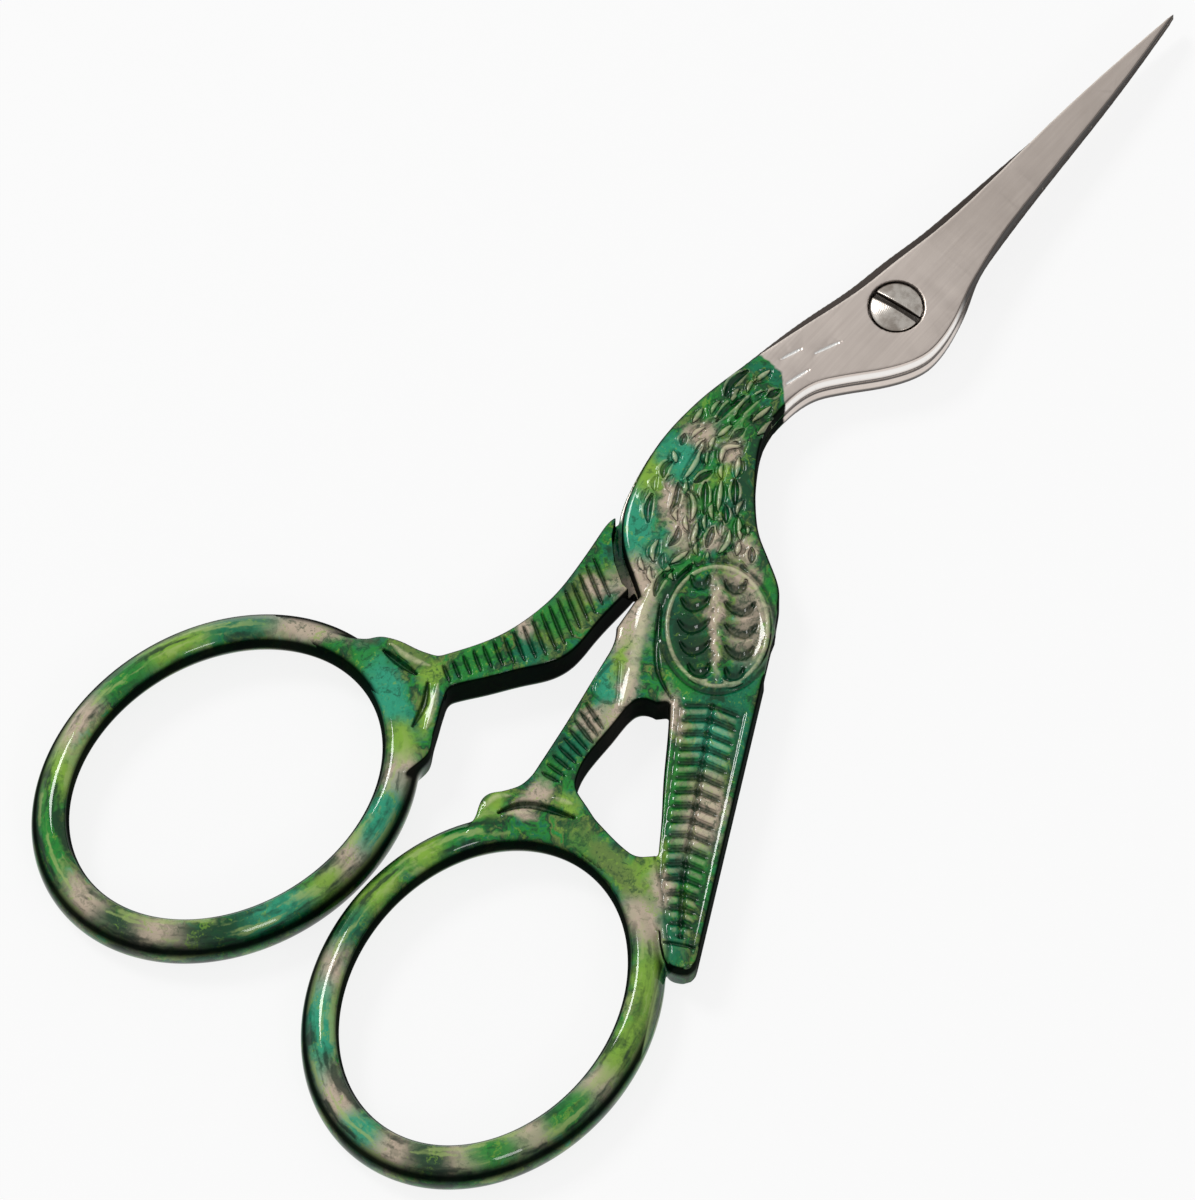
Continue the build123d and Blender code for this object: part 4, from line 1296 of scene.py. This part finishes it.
def coat(name, patches, streaky):
    """Enamel on the handles and bare brushed steel on the blade, head and throat."""
    finish = Finish(name)
    place = finish.place
    x, y, z = (place.part(k) for k in range(3))
    normal = finish.node("ShaderNodeNewGeometry", output="Normal")
    north, up = normal.part(1), normal.part(2)
    relief = finish.stored("relief") * (z - THICKNESS / 2).size().fade(0.1, 0.2)
    steel = bare_places(finish, x, y, z, up)

    colour, stirred, curl, grain = marbling(finish, patches, streaky)
    # Painted shade on slopes steeper than these, lifted by painted floor light in a low band of the walls.
    floor_lit_band, steep = z.fade(0.5, 0.15), (0.94, 0.62)
    if streaky:
        strength = x.fade(BOW_STREAKS_START, BOW_STREAKS_FULL)
        colour = streaks(finish, colour, curl, strength)
        # On the bows the painted dark band is wider and the painted floor light reaches higher.
        floor_lit_band, steep = floor_lit_band.either(z.fade(1.9, 1.2) * strength), (0.8, 0.45)
    colour, dark = pooled_and_painted_shade(finish, colour, relief, grain, up, floor_lit_band, steep)
    bare, shade, lines = ground_steel(finish, x, z, up, north, relief)

    rippled = finish.bump(finish.noise(stirred, 1.4, 3.0), 0.03)
    brushed = finish.noise(place.times((0.6, 22.0, 22.0)), 1.0, 3.0, 0.6)
    scratched = finish.bump(brushed + finish.noise(place, 9.0, 2.0) * 0.5, 0.004)
    bumps = {0: steel, 4: rippled, 5: scratched}
    both = finish.node("ShaderNodeMix", {"data_type": "VECTOR"}, bumps, output=1)
    # The coat is taken off where the sides are painted dark, so that they stay near-black.
    finish.end(finish.node("ShaderNodeBsdfPrincipled", None, {
        "Base Color": finish.mix(steel, colour, bare), "Metallic": steel * (1 - shade * 0.85),
        "Roughness": (1 - steel) * (0.4 + grain * 0.1) + steel * (0.3 + lines * 0.12),
        "Specular IOR Level": 0.0, "Coat Weight": (1 - steel) * (1 - dark * 0.98), "Coat Roughness": 0.05,
        "Coat IOR": 1.45, "Normal": both,
    }))
    print(name, "has", len(finish.tree.nodes), "nodes for", len(patches), "patches")
    return finish.material


# %% [markdown]
# ## A finish for each band
# Cycles can't run one material with all of the patches. So each half is cut into three bands across its
# length, whose materials hold the patches that reach them. A patch near a border belongs to both bands, so
# no border shows.

# %% A finish for each band
BANDS = {"body": (30, -25), "legs": (-25, -40), "bow": (-40, -70)}
PATCH_BLUR = 3.0


def coat_half(piece, side, patches):
    """Give each band of a half its own finish."""
    middles = spots(piece.data.polygons, "center")[:, 0]
    bands = np.zeros(len(middles), int)
    for k, (band, (right, left)) in enumerate(BANDS.items()):
        bands[middles <= right] = k
        near = [p for p in patches if left - PATCH_BLUR - p[2] < p[0] < right + PATCH_BLUR + p[2]]
        piece.data.materials.append(coat(f"marbled_enamel_{side}_{band}", near, band == "bow"))
    piece.data.polygons.foreach_set("material_index", bands)


coat_half(front_half, "front", [p for p in patches if p[1] < 5.5 and not (p[0] < -26 and p[1] > 0)])
coat_half(back_half, "back", [p for p in patches if p[1] > -9.5 and (p[0] > -26 or p[1] > -0.5)])

# %% [markdown]
# ## The screw's steel
# The screw was turned on a lathe, which leaves fine rings round its axis. The ring pattern is a sine of
# the distance from the axis, and the slot and the seat are dark with shade and old oil.

# %% The screw's steel
def turned_steel(piece):
    finish = Finish("turned_screw_steel")
    place = finish.place
    radius = place.times((1.0, 1.0, 0.0)).length()
    rings = finish.node("ShaderNodeMath", {"operation": "SINE"}, {0: radius * 60.0})
    stains = finish.noise(place, 1.3, 4.0, 0.6)
    colour = finish.mix(stains.fade(0.35, 0.7), ink(226, 219, 210), ink(172, 162, 152))
    # The slot and all below the rim of the dome are darkened: painted shade, and old oil.
    deep = place.part(2).fade(2.95, 2.75)
    colour = finish.mix(deep * 0.9, colour, ink(30, 25, 22))
    finish.end(finish.node("ShaderNodeBsdfPrincipled", None, {
        "Base Color": colour, "Metallic": 1.0, "Roughness": 0.22 + stains * 0.12,
        "Normal": finish.bump(rings, 0.003),
    }))
    piece.data.materials.append(finish.material)
    print("screw finish has", len(finish.tree.nodes), "nodes")


turned_steel(screw)

# %% [markdown]
# ## Camera
# The photograph looks down on the scissors from the side of the bows. A long lens from far away keeps the
# lines as parallel as they are there.

# %% Camera
def turned(azimuth, elevation):
    """The direction from which a view or a lamp looks down on the scissors."""
    a, e = math.radians(azimuth), math.radians(elevation)
    return np.array([math.sin(a) * math.cos(e), -math.cos(a) * math.cos(e), math.sin(e)])


PHOTO_HEIGHT, PHOTO_PITCH = 1200, 0.0606  # pixels, and millimetres for each pixel
CAMERA_AZIMUTH, CAMERA_ELEVATION = -49.35, 66
camera_data = bpy.data.cameras.new("photo_camera")
camera = bpy.data.objects.new("photo_camera", camera_data)
bpy.context.scene.collection.objects.link(camera)
bpy.context.scene.camera = camera
aim = np.array([-26.178, 1.485, 1.5]) * MM
back = turned(CAMERA_AZIMUTH, CAMERA_ELEVATION)
distance = 1.6
camera.location = aim + back * distance
camera.rotation_mode = "QUATERNION"
camera.rotation_quaternion = Vector(-back).to_track_quat("-Z", "Y")
camera_data.sensor_width = 36
camera_data.lens = camera_data.sensor_width * distance / (PHOTO_HEIGHT * PHOTO_PITCH * MM)
camera_data.clip_start, camera_data.clip_end = 0.1, 10
print("lens in mm:", round(camera_data.lens))

# %% [markdown]
# ## Light
# The photograph has the even light of a small studio. A pale world gives the soft light, and two
# softboxes draw the glints on the enamel. Their power is set from how bright their faces look, so that
# their size can change freely.

# %% Light
def softbox(name, azimuth, elevation, size, glow, far=1.1):
    """A square lamp that faces the scissors; glow is how bright its face is, 1 being white."""
    lamp = bpy.data.lights.new(name, "AREA")
    lamp.shape, lamp.size = "SQUARE", size
    lamp.energy = glow * math.pi * size**2
    holder = bpy.data.objects.new(name, lamp)
    bpy.context.scene.collection.objects.link(holder)
    direction = turned(azimuth, elevation)
    holder.location = aim + direction * far
    holder.rotation_mode = "QUATERNION"
    holder.rotation_quaternion = Vector(-direction).to_track_quat("-Z", "Y")
    print(name, "power in watts:", round(lamp.energy, 2))


softbox("key_softbox", 178, 46, 0.3, 17)
softbox("fill_softbox", -20, 34, 0.2, 8)

WORLD_STRENGTH = 0.52
world = bpy.data.worlds.new("studio")
bpy.context.scene.world = world
world.use_nodes = True
sky = world.node_tree.nodes["Background"]
sky.inputs[0].default_value, sky.inputs[1].default_value = (1, 1, 1, 1), WORLD_STRENGTH
bpy.context.scene.view_settings.view_transform = "Standard"
print("world strength:", WORLD_STRENGTH)

# %% [markdown]
# ## Floor
# The scissors lie on white paper. A camera, a mirror and glass see it nearly white through the mix with
# an emission, and the light that reaches the scissors stays that of plain paper, so their shadow stays
# too.

# %% Floor
PAPER_GLOW = 0.85
bpy.ops.mesh.primitive_grid_add(x_subdivisions=8, y_subdivisions=8, size=4, location=(0, 0, 0))
floor = bpy.context.object
floor.name = "floor"
paper = Finish("white_paper")
fibres = paper.noise(paper.place, 0.8, 3.0)
sheet_colour = paper.mix(fibres, ink(244, 244, 244), ink(248, 248, 248))
lit = paper.node("ShaderNodeBsdfDiffuse", None, {"Color": sheet_colour})
glow = paper.node("ShaderNodeEmission", None, {"Color": ink(254, 254, 254), "Strength": 1.0})
kinds = ("Camera", "Glossy", "Transmission")
rays = [paper.node("ShaderNodeLightPath", output=f"Is {kind} Ray") for kind in kinds]
seen = rays[0].either(rays[1]).either(rays[2])
paper.end(paper.node("ShaderNodeMixShader", None, {0: seen * PAPER_GLOW, 1: lit, 2: glow}))
floor.data.materials.append(paper.material)
print("floor in m:", [round(side, 2) for side in floor.dimensions])

# %% [markdown]
